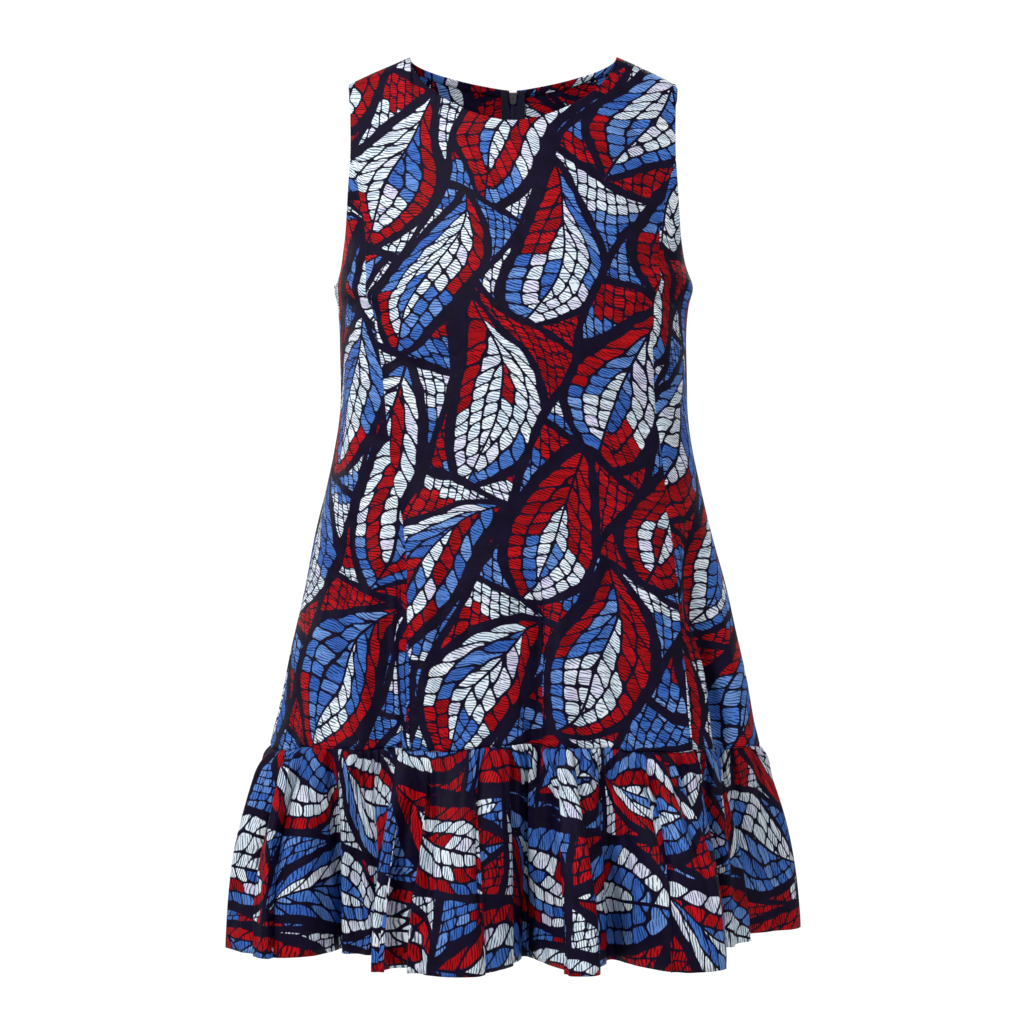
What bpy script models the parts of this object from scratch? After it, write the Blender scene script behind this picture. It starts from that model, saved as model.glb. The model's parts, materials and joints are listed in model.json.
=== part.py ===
"""Sleeveless A-line dress: princess seams, a gathered flounce and a concealed centre-back zip.

Metres, +Z up. The origin lies midway between the shoulder seams, at the height of their neck ends.
The front faces -Y and the wearer's left is +X. Every cloth piece is the middle surface of its cloth,
given its wall by a Solidify modifier. Run it in Blender's text editor, or with
blender --background --python part.py.
"""

import math
from collections import namedtuple

import bmesh
import bpy
from mathutils import Matrix, Vector

# Driving sizes, in metres.
CLOTH_WALL = 0.0012
SEAM_GAP = 0.0003  # between the cut edges of two pieces
NECK_HALF = 0.100  # half the neck's width, at the shoulder seams
NECK_DROP_FRONT = 0.0735
NECK_DROP_BACK = 0.0207
NECK_ROUND_FRONT = 1.65  # exponent of the neckline's curve: 2 is an ellipse, less is more pointed
NECK_ROUND_BACK = 2.4
SHOULDER_HALF = 0.157  # from the centre to the armhole, along X
SHOULDER_DROP = 0.026  # the shoulder seam falls this far from neck to armhole
YOKE_Z = -0.262  # the shoulders' round is measured down to here, the fullest part of the bust
SEAM_Z_FRONT = -0.651  # the flounce seam is a little higher at the front, where the bust lifts it
SEAM_Z_SIDE = -0.661
SEAM_Z_BACK = -0.664
HEM_Z = -0.846
SECTION_POWER = 2.3  # exponent of the body's rounded sections
HEM_POWER = 2.2

# Depth of the shoulders' round, above the yoke. A higher exponent makes the shoulder blunter, and
# RIDGE_ROUND holds near the shoulder seam, where the cloth lies flat over the top.
Shoulder = namedtuple("Shoulder", "round armhole_depth")
FRONT_SHOULDER = Shoulder(1.53, 0.073)
BACK_SHOULDER = Shoulder(1.75, 0.070)
RIDGE_ROUND = 2.0
RIDGE_SHARE = 0.12
ARMHOLE_HOLD = 3.0  # how late the armhole's edge turns back to the side seam
ARMHOLE_TURN = 0.7

# Half the width between the armholes, by share of the way from the shoulder seam down to the yoke.
Armhole = namedtuple("Armhole", "share front back")
ARMHOLE = (
    Armhole(0.000, 0.1570, 0.1570),
    Armhole(0.143, 0.1550, 0.1575),
    Armhole(0.294, 0.1540, 0.1585),
    Armhole(0.461, 0.1560, 0.1600),
    Armhole(0.620, 0.1584, 0.1615),
    Armhole(0.696, 0.1610, 0.1635),
    Armhole(0.763, 0.1642, 0.1660),
    Armhole(0.805, 0.1680, 0.1690),
    Armhole(0.839, 0.1718, 0.1718),
    Armhole(0.890, 0.1684, 0.1684),
    Armhole(1.000, 0.1667, 0.1667),
)
ARMHOLE_FOOT = 0.839  # share at which the armhole meets the side seam
PRINCESS_TOP = 0.335  # share at which the princess seam starts
PRINCESS_SWEEP = 0.4  # how sharply it leaves the armhole: 1 is evenly, less is sooner

# The body from yoke to flounce: half width, depths in front of and behind the side seam, the
# arc from centre front to princess seam, and how far the cloth has turned round the wearer.
Section = namedtuple("Section", "z half_width front back princess turn")
SECTIONS = (
    Section(-0.262, 0.1667, 0.1210, 0.1045, 0.136, 0.000),
    Section(-0.330, 0.1660, 0.1190, 0.1030, 0.131, 0.008),
    Section(-0.400, 0.1757, 0.1185, 0.1035, 0.132, 0.015),
    Section(-0.465, 0.1915, 0.1220, 0.1080, 0.128, 0.026),
    Section(-0.543, 0.2095, 0.1290, 0.1170, 0.129, 0.032),
    Section(-0.600, 0.2220, 0.1335, 0.1250, 0.131, 0.036),
    Section(-0.661, 0.2360, 0.1380, 0.1340, 0.135, 0.041),
)

# Soft flutes that open below the bust. top is where one starts, at its arc from the geometric centre
# front (towards the wearer's left) there and at the flounce seam. out is its height at the seam.
Flute = namedtuple("Flute", "name top at_top at_seam half_width out")
FLUTES = (
    Flute("front right crest", -0.36, -0.100, -0.082, 0.034, 0.007),
    Flute("front right wall", -0.36, -0.128, -0.122, 0.024, -0.011),
    Flute("side right lobe", -0.36, -0.170, -0.185, 0.036, 0.004),
    Flute("centre recess", -0.46, 0.018, 0.019, 0.017, -0.010),
    Flute("centre crest", -0.46, 0.048, 0.050, 0.032, 0.006),
    Flute("front left crest", -0.40, 0.146, 0.172, 0.030, 0.008),
    Flute("side left recess", -0.44, 0.186, 0.216, 0.026, -0.022),
    Flute("side left lobe", -0.44, 0.240, 0.276, 0.040, 0.003),
    Flute("back left recess", -0.40, 0.300, 0.360, 0.036, -0.012),
    Flute("back left lobe", -0.40, 0.345, 0.425, 0.044, 0.010),
    Flute("back centre recess", -0.44, 0.420, 0.515, 0.036, -0.010),
    Flute("back centre lobe", -0.46, 0.480, 0.575, 0.036, 0.006),
    Flute("back right recess", -0.42, -0.405, -0.520, 0.034, -0.011),
    Flute("back right lobe", -0.42, -0.350, -0.450, 0.044, 0.010),
    Flute("side back right recess", -0.40, -0.290, -0.375, 0.036, -0.012),
    Flute("side seam right lobe", -0.40, -0.235, -0.300, 0.040, 0.002),
)

# The flounce's hem: an even ring, and the folds on it. seam is where the middle of a fold is sewn on,
# and at is where it hangs, both as arcs from the geometric centre front. out is its height from the
# ring, and valley is that of the hollow after it, towards the wearer's left.
HEM_HALF_WIDTH = 0.255
HEM_FRONT = 0.150
HEM_BACK = 0.150
Fold = namedtuple("Fold", "name seam at half_width out valley")
FOLDS = (
    Fold("side right", -0.246, -0.260, 0.058, 0.027, -0.056),
    Fold("recessed right", -0.156, -0.160, 0.014, -0.036, -0.042),
    Fold("strip", -0.108, -0.113, 0.009, 0.044, 0.032),
    Fold("front right", -0.045, -0.052, 0.039, 0.052, -0.046),
    Fold("front centre", 0.052, 0.056, 0.018, 0.050, -0.026),
    Fold("front left", 0.140, 0.152, 0.036, 0.054, -0.056),
    Fold("side left recess", 0.222, 0.266, 0.026, -0.030, -0.046),
    Fold("side left", 0.305, 0.388, 0.030, 0.036, -0.030),
    Fold("back side left", 0.372, 0.448, 0.022, 0.026, -0.034),
    Fold("back left", 0.445, 0.526, 0.032, 0.034, -0.036),
    Fold("back centre", 0.532, 0.612, 0.026, 0.028, -0.032),
    Fold("back right", 0.612, 0.696, 0.034, 0.036, -0.036),
    Fold("back side right", 0.696, 0.782, 0.026, 0.028, -0.034),
    Fold("side seam right", 0.790, 0.880, 0.032, 0.032, -0.030),
    Fold("side behind right", 0.862, 0.952, 0.020, 0.014, -0.022),
)
FLOUNCE_GAP = 0.0003  # more than SEAM_GAP, because its gathers and the body's columns differ
FLOUNCE_SPRING = 0.80  # how soon the folds open below the seam: 0 is evenly
FOLD_SHOULDER = 0.75  # height of a fold at its half width, as a share of its crest's
FOLD_SPAN_POINTS = 9  # points between two places that shape the hem
NORMAL_REACH = 0.002

# Grid of each panel.
COLUMNS_NECK = 6
COLUMNS_SHOULDER = 3
COLUMNS_ARMHOLE_FRONT = 3
COLUMNS_ARMHOLE_SIDE = 9
COLUMNS_ARMHOLE_BACK = 8
ROWS_BODY = 12
ROWS_SHOULDER = 6
ROWS_FLOUNCE = 4
FLOUNCE_COLUMN = 0.016  # width of a column, along the hem
RING_POINTS = 360

# Concealed zip down the centre back. Distances across it are from the seam, and distances down it
# from the neck's edge.
ZIP_LENGTH = 0.48
ZIP_NOTCH_HALF = 0.004  # the backs stand apart by twice this at the neck
PART_GAP = 0.0008  # between a zip piece and what it lies on
TAPE_WALL = 0.0010
TAPE_OUTER = 0.0125
TapeEdge = namedtuple("TapeEdge", "down inner")
TAPE_EDGES = (TapeEdge(0.0012, 0.0046), TapeEdge(0.0140, 0.0046), TapeEdge(0.0260, 0.0024))
COIL_TOP = 0.0135
COIL_HALF = 0.0019
COIL_WALL = 0.0018
SLIDER_DOWN = 0.0072
SLIDER_HALF = 0.0040
SLIDER_FOOT_HALF = 0.0027
SLIDER_HEIGHT = 0.0110
SLIDER_WALL = 0.0034
SLIDER_CORNER = 0.0012
BRIDGE_HALF = 0.0007
BRIDGE_ROUND = 0.0018
PIVOT_HOLE = 0.00095
PIVOT_BAR = 0.0006
PIVOT_OUT = 0.0026  # from the cloth's middle surface to the pull tab's pivot
TAB_LENGTH = 0.022
TAB_HALF = 0.0022
TAB_FOOT_HALF = 0.0030
TAB_WALL = 0.0011
TAB_CORNER = 0.0011
TAB_WINDOW_HALF = 0.0011
TAB_WINDOW = 0.0030  # from the pivot to the foot of the window
TAB_LEAN = 2.5  # degrees: the tab's tip rests nearer the cloth than its pivot
ROUND_POINTS = 24


def clear_scene():
    for obj in list(bpy.data.objects):
        bpy.data.objects.remove(obj, do_unlink=True)


def read(table, column, at):
    """A column of a table at any value of its first column, through its rows on a smooth curve."""
    places = [row[0] for row in table]
    values = [getattr(row, column) for row in table]
    if places[0] > places[-1]:
        places = [-place for place in places]
        at = -at
    at = min(max(at, places[0]), places[-1])
    last = len(places) - 2
    i = min(sum(1 for place in places[1:] if place <= at), last)
    slopes = [
        (values[k + 1] - values[k]) / (places[k + 1] - places[k]) for k in range(last + 1)
    ]

    def tangent(k):
        if k == 0 or k == last + 1:
            return slopes[min(k, last)]
        before, after = slopes[k - 1], slopes[k]
        return 0.0 if before * after <= 0 else 2 * before * after / (before + after)

    width = places[i + 1] - places[i]
    f = (at - places[i]) / width
    start = (1 + 2 * f) * (1 - f) ** 2 * values[i] + f * (1 - f) ** 2 * width * tangent(i)
    end = f * f * (3 - 2 * f) * values[i + 1] - f * f * (1 - f) * width * tangent(i + 1)
    return start + end


def ease(f):
    f = min(max(f, 0.0), 1.0)
    return f * f * (3 - 2 * f)


class Ring:
    """A closed line at one height, read by its arc from the centre front towards the wearer's left."""

    def __init__(self, points, centre=0):
        self.points = [Vector(p) for p in points]
        self.arcs = [0.0]
        for i, point in enumerate(self.points):
            after = self.points[(i + 1) % len(self.points)]
            self.arcs.append(self.arcs[-1] + (after - point).length)
        self.length = self.arcs[-1]
        self.start = self.arcs[centre]

    def at(self, arc):
        arc = (arc + self.start) % self.length
        low, high = 0, len(self.points)
        while high - low > 1:
            middle = (low + high) // 2
            if self.arcs[middle] <= arc:
                low = middle
            else:
                high = middle
        share = (arc - self.arcs[low]) / (self.arcs[low + 1] - self.arcs[low])
        return self.points[low].lerp(self.points[(low + 1) % len(self.points)], share)

    def outward(self, arc, reach=0.002):
        along = self.at(arc + reach) - self.at(arc - reach)
        return Vector((along.y, -along.x)).normalized()

    def moved(self, out):
        """The ring with each point moved out by out(arc)."""
        points = []
        for i, point in enumerate(self.points):
            arc = self.arcs[i] - self.start
            points.append(point + self.outward(arc) * out(arc))
        return Ring(points)

    def quarter(self, turns):
        """Arc of the point a number of quarter turns from the centre front."""
        return self.arcs[round(turns * len(self.points) / 4)] - self.start


def oval(half_width, front, back, power):
    points = []
    for i in range(RING_POINTS):
        angle = 2 * math.pi * i / RING_POINTS
        sine, cosine = math.sin(angle), math.cos(angle)
        x = half_width * math.copysign(abs(sine) ** (2 / power), sine)
        depth = front if cosine > 0 else back
        y = -depth * math.copysign(abs(cosine) ** (2 / power), cosine)
        points.append((x, y))
    return Ring(points)


def wrapped(arc, length):
    return (arc + length / 2) % length - length / 2


def flute_out(z, arc, length):
    """How far the flutes push the cloth out at one height."""
    out = 0.0
    for flute in FLUTES:
        share = (flute.top - z) / (flute.top - SEAM_Z_SIDE)
        if share <= 0:
            continue
        at = flute.at_top + (flute.at_seam - flute.at_top) * share
        away = abs(wrapped(arc - at, length)) / flute.half_width
        if away < 1:
            out += flute.out * ease(share) * math.cos(away * math.pi / 2) ** 2
    return out


def body_ring(z):
    plain = oval(
        read(SECTIONS, "half_width", z),
        read(SECTIONS, "front", z),
        read(SECTIONS, "back", z),
        SECTION_POWER,
    )
    return plain.moved(lambda arc: flute_out(z, arc, plain.length))


Seams = namedtuple("Seams", "side_right princess_right princess_left side_left centre_back")


def seams_of(ring, z):
    """Arcs of the vertical seams on the ring at one height."""
    turn = read(SECTIONS, "turn", z)
    princess = read(SECTIONS, "princess", z)
    return Seams(
        ring.quarter(3) - ring.length + turn,
        turn - princess,
        turn + princess,
        ring.quarter(1) + turn,
        ring.quarter(2) + turn,
    )


def flounce_seam_z(arc, ring):
    """Height of the flounce seam at an arc of the ring that lies on it."""
    share = abs(wrapped(arc, ring.length)) / ring.quarter(1)
    if share < 1:
        return SEAM_Z_FRONT + (SEAM_Z_SIDE - SEAM_Z_FRONT) * ease(share)
    return SEAM_Z_SIDE + (SEAM_Z_BACK - SEAM_Z_SIDE) * ease(share - 1)


def ridge(x):
    """Height of the shoulder line, carried on over the neck as a guide."""
    return SHOULDER_DROP * (NECK_HALF - abs(x)) / (SHOULDER_HALF - NECK_HALF)


def rounding(share, form):
    """Share of the full depth that the body has, at a share of the way from shoulder to yoke."""
    power = form.round + (RIDGE_ROUND - form.round) * (1 - ease(share / RIDGE_SHARE))
    return (1 - (1 - share) ** power) ** (1 / power)


def upper_point(turned, share, back):
    """A point of the cloth above the yoke: turned is its angle round the body from the centre."""
    form = BACK_SHOULDER if back else FRONT_SHOULDER
    middle = SECTIONS[0].back if back else SECTIONS[0].front
    full = rounding(share, form)
    to_foot = min(share / ARMHOLE_FOOT, 1.0)
    edge = form.armhole_depth * full * (1 - to_foot**ARMHOLE_HOLD) ** ARMHOLE_TURN
    # The section is open and soft at mid armhole, and closes round to the side seam at the underarm.
    closing = 1 - (1 - 1 / SECTION_POWER) * ease((to_foot - 0.5) / 0.5)
    depth = edge + (middle * full - edge) * max(math.cos(turned), 0.0) ** (2 * closing)
    half_width = read(ARMHOLE, "back" if back else "front", share)
    x = half_width * math.sin(turned) ** (2 / SECTION_POWER)
    return Vector((x, depth if back else -depth, ridge(x) - share * (ridge(x) - YOKE_Z)))


def turned_at(x, share, back):
    """The angle round the body of a point that lies x from the centre."""
    across = x / read(ARMHOLE, "back" if back else "front", share)
    return math.asin(min(across, 1.0) ** (SECTION_POWER / 2))


def turned_on_ring(point, back):
    """The angle round the body of a point on the yoke's ring."""
    middle = SECTIONS[0].back if back else SECTIONS[0].front
    across = (abs(point.x) / SECTIONS[0].half_width) ** (SECTION_POWER / 2)
    deep = (abs(point.y) / middle) ** (SECTION_POWER / 2)
    return math.atan2(across, deep)


def neck_share(x, back):
    """Share at which the neckline crosses a distance from the centre."""
    drop = NECK_DROP_BACK if back else NECK_DROP_FRONT
    power = NECK_ROUND_BACK if back else NECK_ROUND_FRONT
    z = -drop * (1 - min(x / NECK_HALF, 1.0) ** power) ** (1 / power)
    return (ridge(x) - z) / (ridge(x) - YOKE_Z)


# The top end of a column of points: its angle round the body, its share of the way down, and how
# soon the column sweeps away from there to its place on the yoke.
Top = namedtuple("Top", "turned share sweep")


def neck_tops(back):
    """Along the neckline, from the centre out to the shoulder seam."""
    tops = []
    for i in range(COLUMNS_NECK + 1):
        x = NECK_HALF * math.sin(math.pi / 2 * i / COLUMNS_NECK)
        share = neck_share(x, back)
        tops.append(Top(turned_at(x, share, back), share, 1.0))
    return tops


def shoulder_tops(back):
    wide = SHOULDER_HALF - NECK_HALF
    places = [NECK_HALF + wide * i / COLUMNS_SHOULDER for i in range(COLUMNS_SHOULDER + 1)]
    return [Top(turned_at(x, 0.0, back), 0.0, 1.0) for x in places]


def armhole_tops(start, end, count, sweep=1.0):
    """Down the armhole between two shares. sweep holds at the princess seam and fades away from it."""
    tops = []
    for i in range(count + 1):
        share = start + (end - start) * i / count
        far = i / count if start else 1 - i / count
        tops.append(Top(math.pi / 2, share, sweep + (1 - sweep) * far))
    return tops


def column(top, foot, side, back):
    """Points above the yoke, up to a top end. side is 1 on the wearer's left and -1 on the right."""
    start = turned_on_ring(foot, back)
    # A column that ends on the shoulder seam has its points closer together at the top.
    crowding = 1.4 + 1.2 * max(1 - top.share / 0.25, 0.0)
    points = []
    for row in range(1, ROWS_SHOULDER + 1):
        left = (1 - row / ROWS_SHOULDER) ** crowding
        turned = top.turned + (start - top.turned) * left**top.sweep
        point = upper_point(turned, top.share + (1 - top.share) * left, back)
        points.append(Vector((side * point.x, point.y, point.z)))
    return points


def body_rows():
    """(ring, seams, share) for each row, from the flounce seam up to the yoke."""
    rows = []
    for row in range(ROWS_BODY + 1):
        share = row / ROWS_BODY
        z = SEAM_Z_SIDE + (YOKE_Z - SEAM_Z_SIDE) * share
        ring = body_ring(z)
        rows.append((ring, seams_of(ring, z), share))
    return rows


def lower_point(ring, arc, share):
    """A point of the cloth below the yoke, at a share of the way up from the flounce seam."""
    bottom = flounce_seam_z(arc, ring)
    flat = ring.at(arc)
    return Vector((flat.x, flat.y, bottom + (YOKE_Z - bottom) * share))


def flounce_seam_normal(ring, above, arc):
    """Outward normal of the cloth where the flounce is sewn on. above is the next ring up."""
    here = lower_point(ring, arc, 0.0)
    across = lower_point(ring, arc + NORMAL_REACH, 0.0) - here
    # Arcs on the two rings that face each other are in the same share of their lengths.
    up = lower_point(above, arc * above.length / ring.length, 1 / ROWS_BODY) - here
    return across.cross(up).normalized()


def hem_ring():
    """The hem, and the arc on it of the middle of each fold."""
    plain = oval(HEM_HALF_WIDTH, HEM_FRONT, HEM_BACK, HEM_POWER)
    marks = []
    for fold, after in zip(FOLDS, FOLDS[1:] + FOLDS[:1]):
        next_start = after.at - after.half_width
        if after is FOLDS[0]:
            next_start += plain.length
        marks.append((fold.at - fold.half_width, FOLD_SHOULDER * fold.out))
        marks.append((fold.at, fold.out))
        marks.append((fold.at + fold.half_width, FOLD_SHOULDER * fold.out))
        marks.append(((fold.at + fold.half_width + next_start) / 2, fold.valley))
    knots = [plain.at(arc) + plain.outward(arc) * out for arc, out in marks]
    points = []
    for i, knot in enumerate(knots):
        before, after, far = (knots[(i + k) % len(knots)] for k in (-1, 1, 2))
        for step in range(FOLD_SPAN_POINTS):
            f = step / FOLD_SPAN_POINTS
            points.append(
                knot * (1 - 2.5 * f**2 + 1.5 * f**3)
                + after * (0.5 * f + 2 * f**2 - 1.5 * f**3)
                + before * (-0.5 * f + f**2 - 0.5 * f**3)
                + far * (0.5 * f**3 - 0.5 * f**2)
            )
    ring = Ring(points)
    middles = [ring.arcs[(4 * i + 1) * FOLD_SPAN_POINTS] for i in range(len(FOLDS))]
    return ring, middles


def between(places, values, at):
    """A value at one place, in straight lines between the values at the places given in order."""
    i = 0
    while i < len(places) - 2 and places[i + 1] < at:
        i += 1
    share = (at - places[i]) / (places[i + 1] - places[i])
    return values[i] + (values[i + 1] - values[i]) * share


def flounce_grid(rows, hem, sewn, hung, first, last):
    """Columns of points, hem to flounce seam, between two arcs on the seam."""
    ring, above = rows[0][0], rows[1][0]
    start = between(sewn, hung, first)
    end = between(sewn, hung, last)
    count = round((end - start) / FLOUNCE_COLUMN)
    grid = []
    normals = []
    for i in range(count + 1):
        on_hem = start + (end - start) * i / count
        arc = between(hung, sewn, on_hem)
        top = lower_point(ring, arc, 0.0) - Vector((0.0, 0.0, FLOUNCE_GAP))
        flat = hem.at(on_hem)
        foot = Vector((flat.x, flat.y, HEM_Z))
        points = []
        for row in range(ROWS_FLOUNCE + 1):
            down = 1 - row / ROWS_FLOUNCE
            point = top.lerp(foot, down)
            opened = down * (1 + FLOUNCE_SPRING * (1 - down))
            point.xy = top.xy.lerp(foot.xy, opened)
            points.append(point)
        grid.append(points)
        normals.append(flounce_seam_normal(ring, above, arc))
    return grid, normals


def panel_grid(rows, start, end, tops, sides, back):
    """Columns of points, foot to top, between the two seams named start and end."""
    count = len(tops) - 1
    grid = []
    for i, (top, side) in enumerate(zip(tops, sides)):
        points = []
        for ring, seams, up in rows:
            first = getattr(seams, start)
            last = getattr(seams, end)
            if last < first:
                last += ring.length
            points.append(lower_point(ring, first + (last - first) * i / count, up))
        grid.append(points + column(top, points[-1], side, back))
    return grid


def drawn_in(grid):
    """The grid with its border moved in by half a seam gap, so that pieces lie a gap apart."""
    for line, inside in ((grid[0], grid[1]), (grid[-1], grid[-2])):
        along = [
            (line[min(k + 1, len(line) - 1)] - line[max(k - 1, 0)]).normalized()
            for k in range(len(line))
        ]
        for k, point in enumerate(line):
            across = inside[k] - point
            across -= along[k] * across.dot(along[k])
            line[k] = point + across.normalized() * SEAM_GAP / 2
    for points in grid:
        for end, inside in ((0, 1), (-1, -2)):
            step = (points[inside] - points[end]).normalized() * SEAM_GAP / 2
            points[end] = points[end] + step
    return grid


def normals_of(grid, before, after):
    """Outward normals at the grid's points. before and after are the columns beyond its two seams."""
    wide = [before] + grid + [after]
    normals = []
    for i in range(1, len(wide) - 1):
        line = []
        for k in range(len(wide[i])):
            total = Vector()
            for left, right in ((wide[i - 1], wide[i]), (wide[i], wide[i + 1])):
                for low in range(max(k - 1, 0), min(k + 1, len(left) - 1)):
                    across = right[low] - left[low] + right[low + 1] - left[low + 1]
                    up = left[low + 1] - left[low] + right[low + 1] - right[low]
                    total += across.cross(up).normalized()
            line.append(total.normalized())
        normals.append(line)
    return normals


def link(name, shape, material):
    mesh = bpy.data.meshes.new(name)
    shape.normal_update()
    shape.to_mesh(mesh)
    shape.free()
    mesh.shade_smooth()
    mesh.materials.append(material)
    obj = bpy.data.objects.new(name, mesh)
    bpy.context.collection.objects.link(obj)
    return obj


def add_sheet(name, grid, normals, material, wall=CLOTH_WALL):
    """A closed sheet, its middle surface through the grid's columns, foot to top."""
    shape = bmesh.new()
    faces = []
    for side in (1, -1):
        faces.append(
            [
                [shape.verts.new(p + n * side * wall / 2) for p, n in zip(points, line)]
                for points, line in zip(grid, normals)
            ]
        )
    outer, inner = faces
    last = len(outer) - 1
    top = len(outer[0]) - 1
    for i in range(last):
        for k in range(top):
            shape.faces.new((outer[i][k], outer[i + 1][k], outer[i + 1][k + 1], outer[i][k + 1]))
            shape.faces.new((inner[i][k + 1], inner[i + 1][k + 1], inner[i + 1][k], inner[i][k]))
        shape.faces.new((outer[i + 1][0], outer[i][0], inner[i][0], inner[i + 1][0]))
        shape.faces.new((outer[i][top], outer[i + 1][top], inner[i + 1][top], inner[i][top]))
    for k in range(top):
        shape.faces.new((outer[0][k], outer[0][k + 1], inner[0][k + 1], inner[0][k]))
        shape.faces.new((outer[last][k + 1], outer[last][k], inner[last][k], inner[last][k + 1]))
    return link(name, shape, material)


def add_round(names, grids, material, top_normals=None):
    """Sheets that go round the body in order, each sewn to the next."""
    for i, (name, grid) in enumerate(zip(names, grids)):
        normals = normals_of(grid, grids[i - 1][-2], grids[(i + 1) % len(grids)][1])
        for points, line in zip(grid, normals):
            # On the shoulder line front and back share a normal, because they are sewn together.
            if abs(points[-1].y) < SEAM_GAP / 2:
                line[-1].y = 0.0
                line[-1].normalize()
        if top_normals:
            for line, normal in zip(normals, top_normals[i]):
                line[-1] = normal
        add_sheet(name, drawn_in([list(points) for points in grid]), normals, material)


def body_panels(rows):
    """The names of the body's panels and their grids, in order round the body."""
    front = (
        neck_tops(False)
        + shoulder_tops(False)[1:]
        + armhole_tops(0.0, PRINCESS_TOP, COLUMNS_ARMHOLE_FRONT, PRINCESS_SWEEP)[1:]
    )
    side = armhole_tops(PRINCESS_TOP, ARMHOLE_FOOT, COLUMNS_ARMHOLE_SIDE, PRINCESS_SWEEP)
    back = (
        neck_tops(True)
        + shoulder_tops(True)[1:]
        + armhole_tops(0.0, ARMHOLE_FOOT, COLUMNS_ARMHOLE_BACK)[1:]
    )
    whole_front = front[:0:-1] + front
    front_sides = [-1] * (len(front) - 1) + [1] * len(front)
    # Name, the seams on its two sides, the tops of its columns, and the side that each is on.
    panels = (
        ("side_front_right", "side_right", "princess_right", side[::-1], [-1] * len(side)),
        ("front_centre", "princess_right", "princess_left", whole_front, front_sides),
        ("side_front_left", "princess_left", "side_left", side, [1] * len(side)),
        ("back_left", "side_left", "centre_back", back[::-1], [1] * len(back)),
        ("back_right", "centre_back", "side_right", back, [-1] * len(back)),
    )
    names = [panel[0] for panel in panels]
    return names, [panel_grid(rows, *panel[1:], panel[0].startswith("back")) for panel in panels]


def add_body(names, grids, cotton):
    """The five panels. The backs stand apart at the neck, where the zip ends."""
    notched = [[list(points) for points in grid] for grid in grids]
    notched[names.index("back_left")][-1][-1].x += ZIP_NOTCH_HALF
    notched[names.index("back_right")][0][-1].x -= ZIP_NOTCH_HALF
    add_round(names, notched, cotton)


def add_flounce(rows, cotton):
    hem, middles = hem_ring()
    # Where each fold is sewn on and where it hangs, with the folds before and after one turn.
    seam = rows[0][0]
    places = [(fold.seam, middle) for fold, middle in zip(FOLDS, middles)]
    turns = [(a + t * seam.length, b + t * hem.length) for t in (-1, 0, 1) for a, b in places]
    sewn = [a for a, _ in turns]
    hung = [b for _, b in turns]
    seams = rows[0][1]
    right, left = seams.side_right, seams.side_left
    front, front_tops = flounce_grid(rows, hem, sewn, hung, right, left)
    back, back_tops = flounce_grid(rows, hem, sewn, hung, left, right + seam.length)
    add_round(["flounce_front", "flounce_back"], [front, back], cotton, [front_tops, back_tops])


class ZipLine:
    """The inside of one back beside the zip, read by the distance down from the neck's edge."""

    def __init__(self, seam_points, next_points, normals):
        self.seam = seam_points[::-1]
        self.next = next_points[::-1]
        self.normals = normals[::-1]
        self.downs = [0.0]
        for above, below in zip(self.seam, self.seam[1:]):
            self.downs.append(self.downs[-1] + (below - above).length)

    def at(self, down, across, out):
        """A point on the cloth's middle surface, moved out from it."""
        i = 0
        while i < len(self.downs) - 2 and self.downs[i + 1] < down:
            i += 1
        share = (down - self.downs[i]) / (self.downs[i + 1] - self.downs[i])
        seam = self.seam[i].lerp(self.seam[i + 1], share)
        beside = self.next[i].lerp(self.next[i + 1], share)
        point = seam + (beside - seam).normalized() * across
        return point + self.normal(down) * out

    def normal(self, down):
        i = 0
        while i < len(self.downs) - 2 and self.downs[i + 1] < down:
            i += 1
        share = (down - self.downs[i]) / (self.downs[i + 1] - self.downs[i])
        return self.normals[i].lerp(self.normals[i + 1], share).normalized()


def zip_line(grids, names, side):
    """The zip's line on one back. side is 1 on the wearer's left."""
    left, right = grids[names.index("back_left")], grids[names.index("back_right")]
    middle_normals = normals_of([left[-1]], left[-2], right[1])[0]
    return ZipLine(left[-1], left[-2] if side > 0 else right[1], middle_normals)


def zip_downs(line, top, extra=()):
    """Distances down the zip at which its pieces bend, from a top to its foot."""
    bends = [down for down in line.downs if top < down < ZIP_LENGTH] + list(extra)
    return sorted([top] + [down for down in bends if down > top] + [ZIP_LENGTH], reverse=True)


def tape_inner(down):
    edges = [edge.down for edge in TAPE_EDGES]
    if down >= edges[-1]:
        return TAPE_EDGES[-1].inner
    return between(edges, [edge.inner for edge in TAPE_EDGES], down)


def add_tape(name, line, side, material):
    out = -(CLOTH_WALL / 2 + PART_GAP + TAPE_WALL / 2)
    downs = zip_downs(line, TAPE_EDGES[0].down, [edge.down for edge in TAPE_EDGES])
    columns = [
        [line.at(down, across(down), out) for down in downs]
        for across in (lambda down: TAPE_OUTER, tape_inner)
    ]
    if side < 0:
        columns.reverse()
    add_sheet(name, columns, [[line.normal(down) for down in downs]] * 2, material, TAPE_WALL)


def add_coil(left, right, material):
    out = -(CLOTH_WALL / 2 + PART_GAP + COIL_WALL / 2)
    downs = zip_downs(left, COIL_TOP)
    columns = [
        [left.at(down, COIL_HALF, out) for down in downs],
        [right.at(down, COIL_HALF, out) for down in downs],
    ]
    add_sheet("zip_coil", columns, [[left.normal(down) for down in downs]] * 2, material, COIL_WALL)


def rounded(corners, radius):
    """The outline of corners given anticlockwise, each rounded off."""
    points = []
    steps = ROUND_POINTS // 4
    for i, corner in enumerate(corners):
        corner = Vector(corner)
        before = (Vector(corners[i - 1]) - corner).normalized()
        after = (Vector(corners[(i + 1) % len(corners)]) - corner).normalized()
        half = before.angle(after) / 2
        centre = corner + (before + after).normalized() * radius / math.sin(half)
        start = corner + before * radius / math.tan(half) - centre
        sweep = math.pi - 2 * half
        for step in range(steps + 1):
            turn = Matrix.Rotation(sweep * step / steps, 2)
            points.append(centre + turn @ start)
    return points


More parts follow.
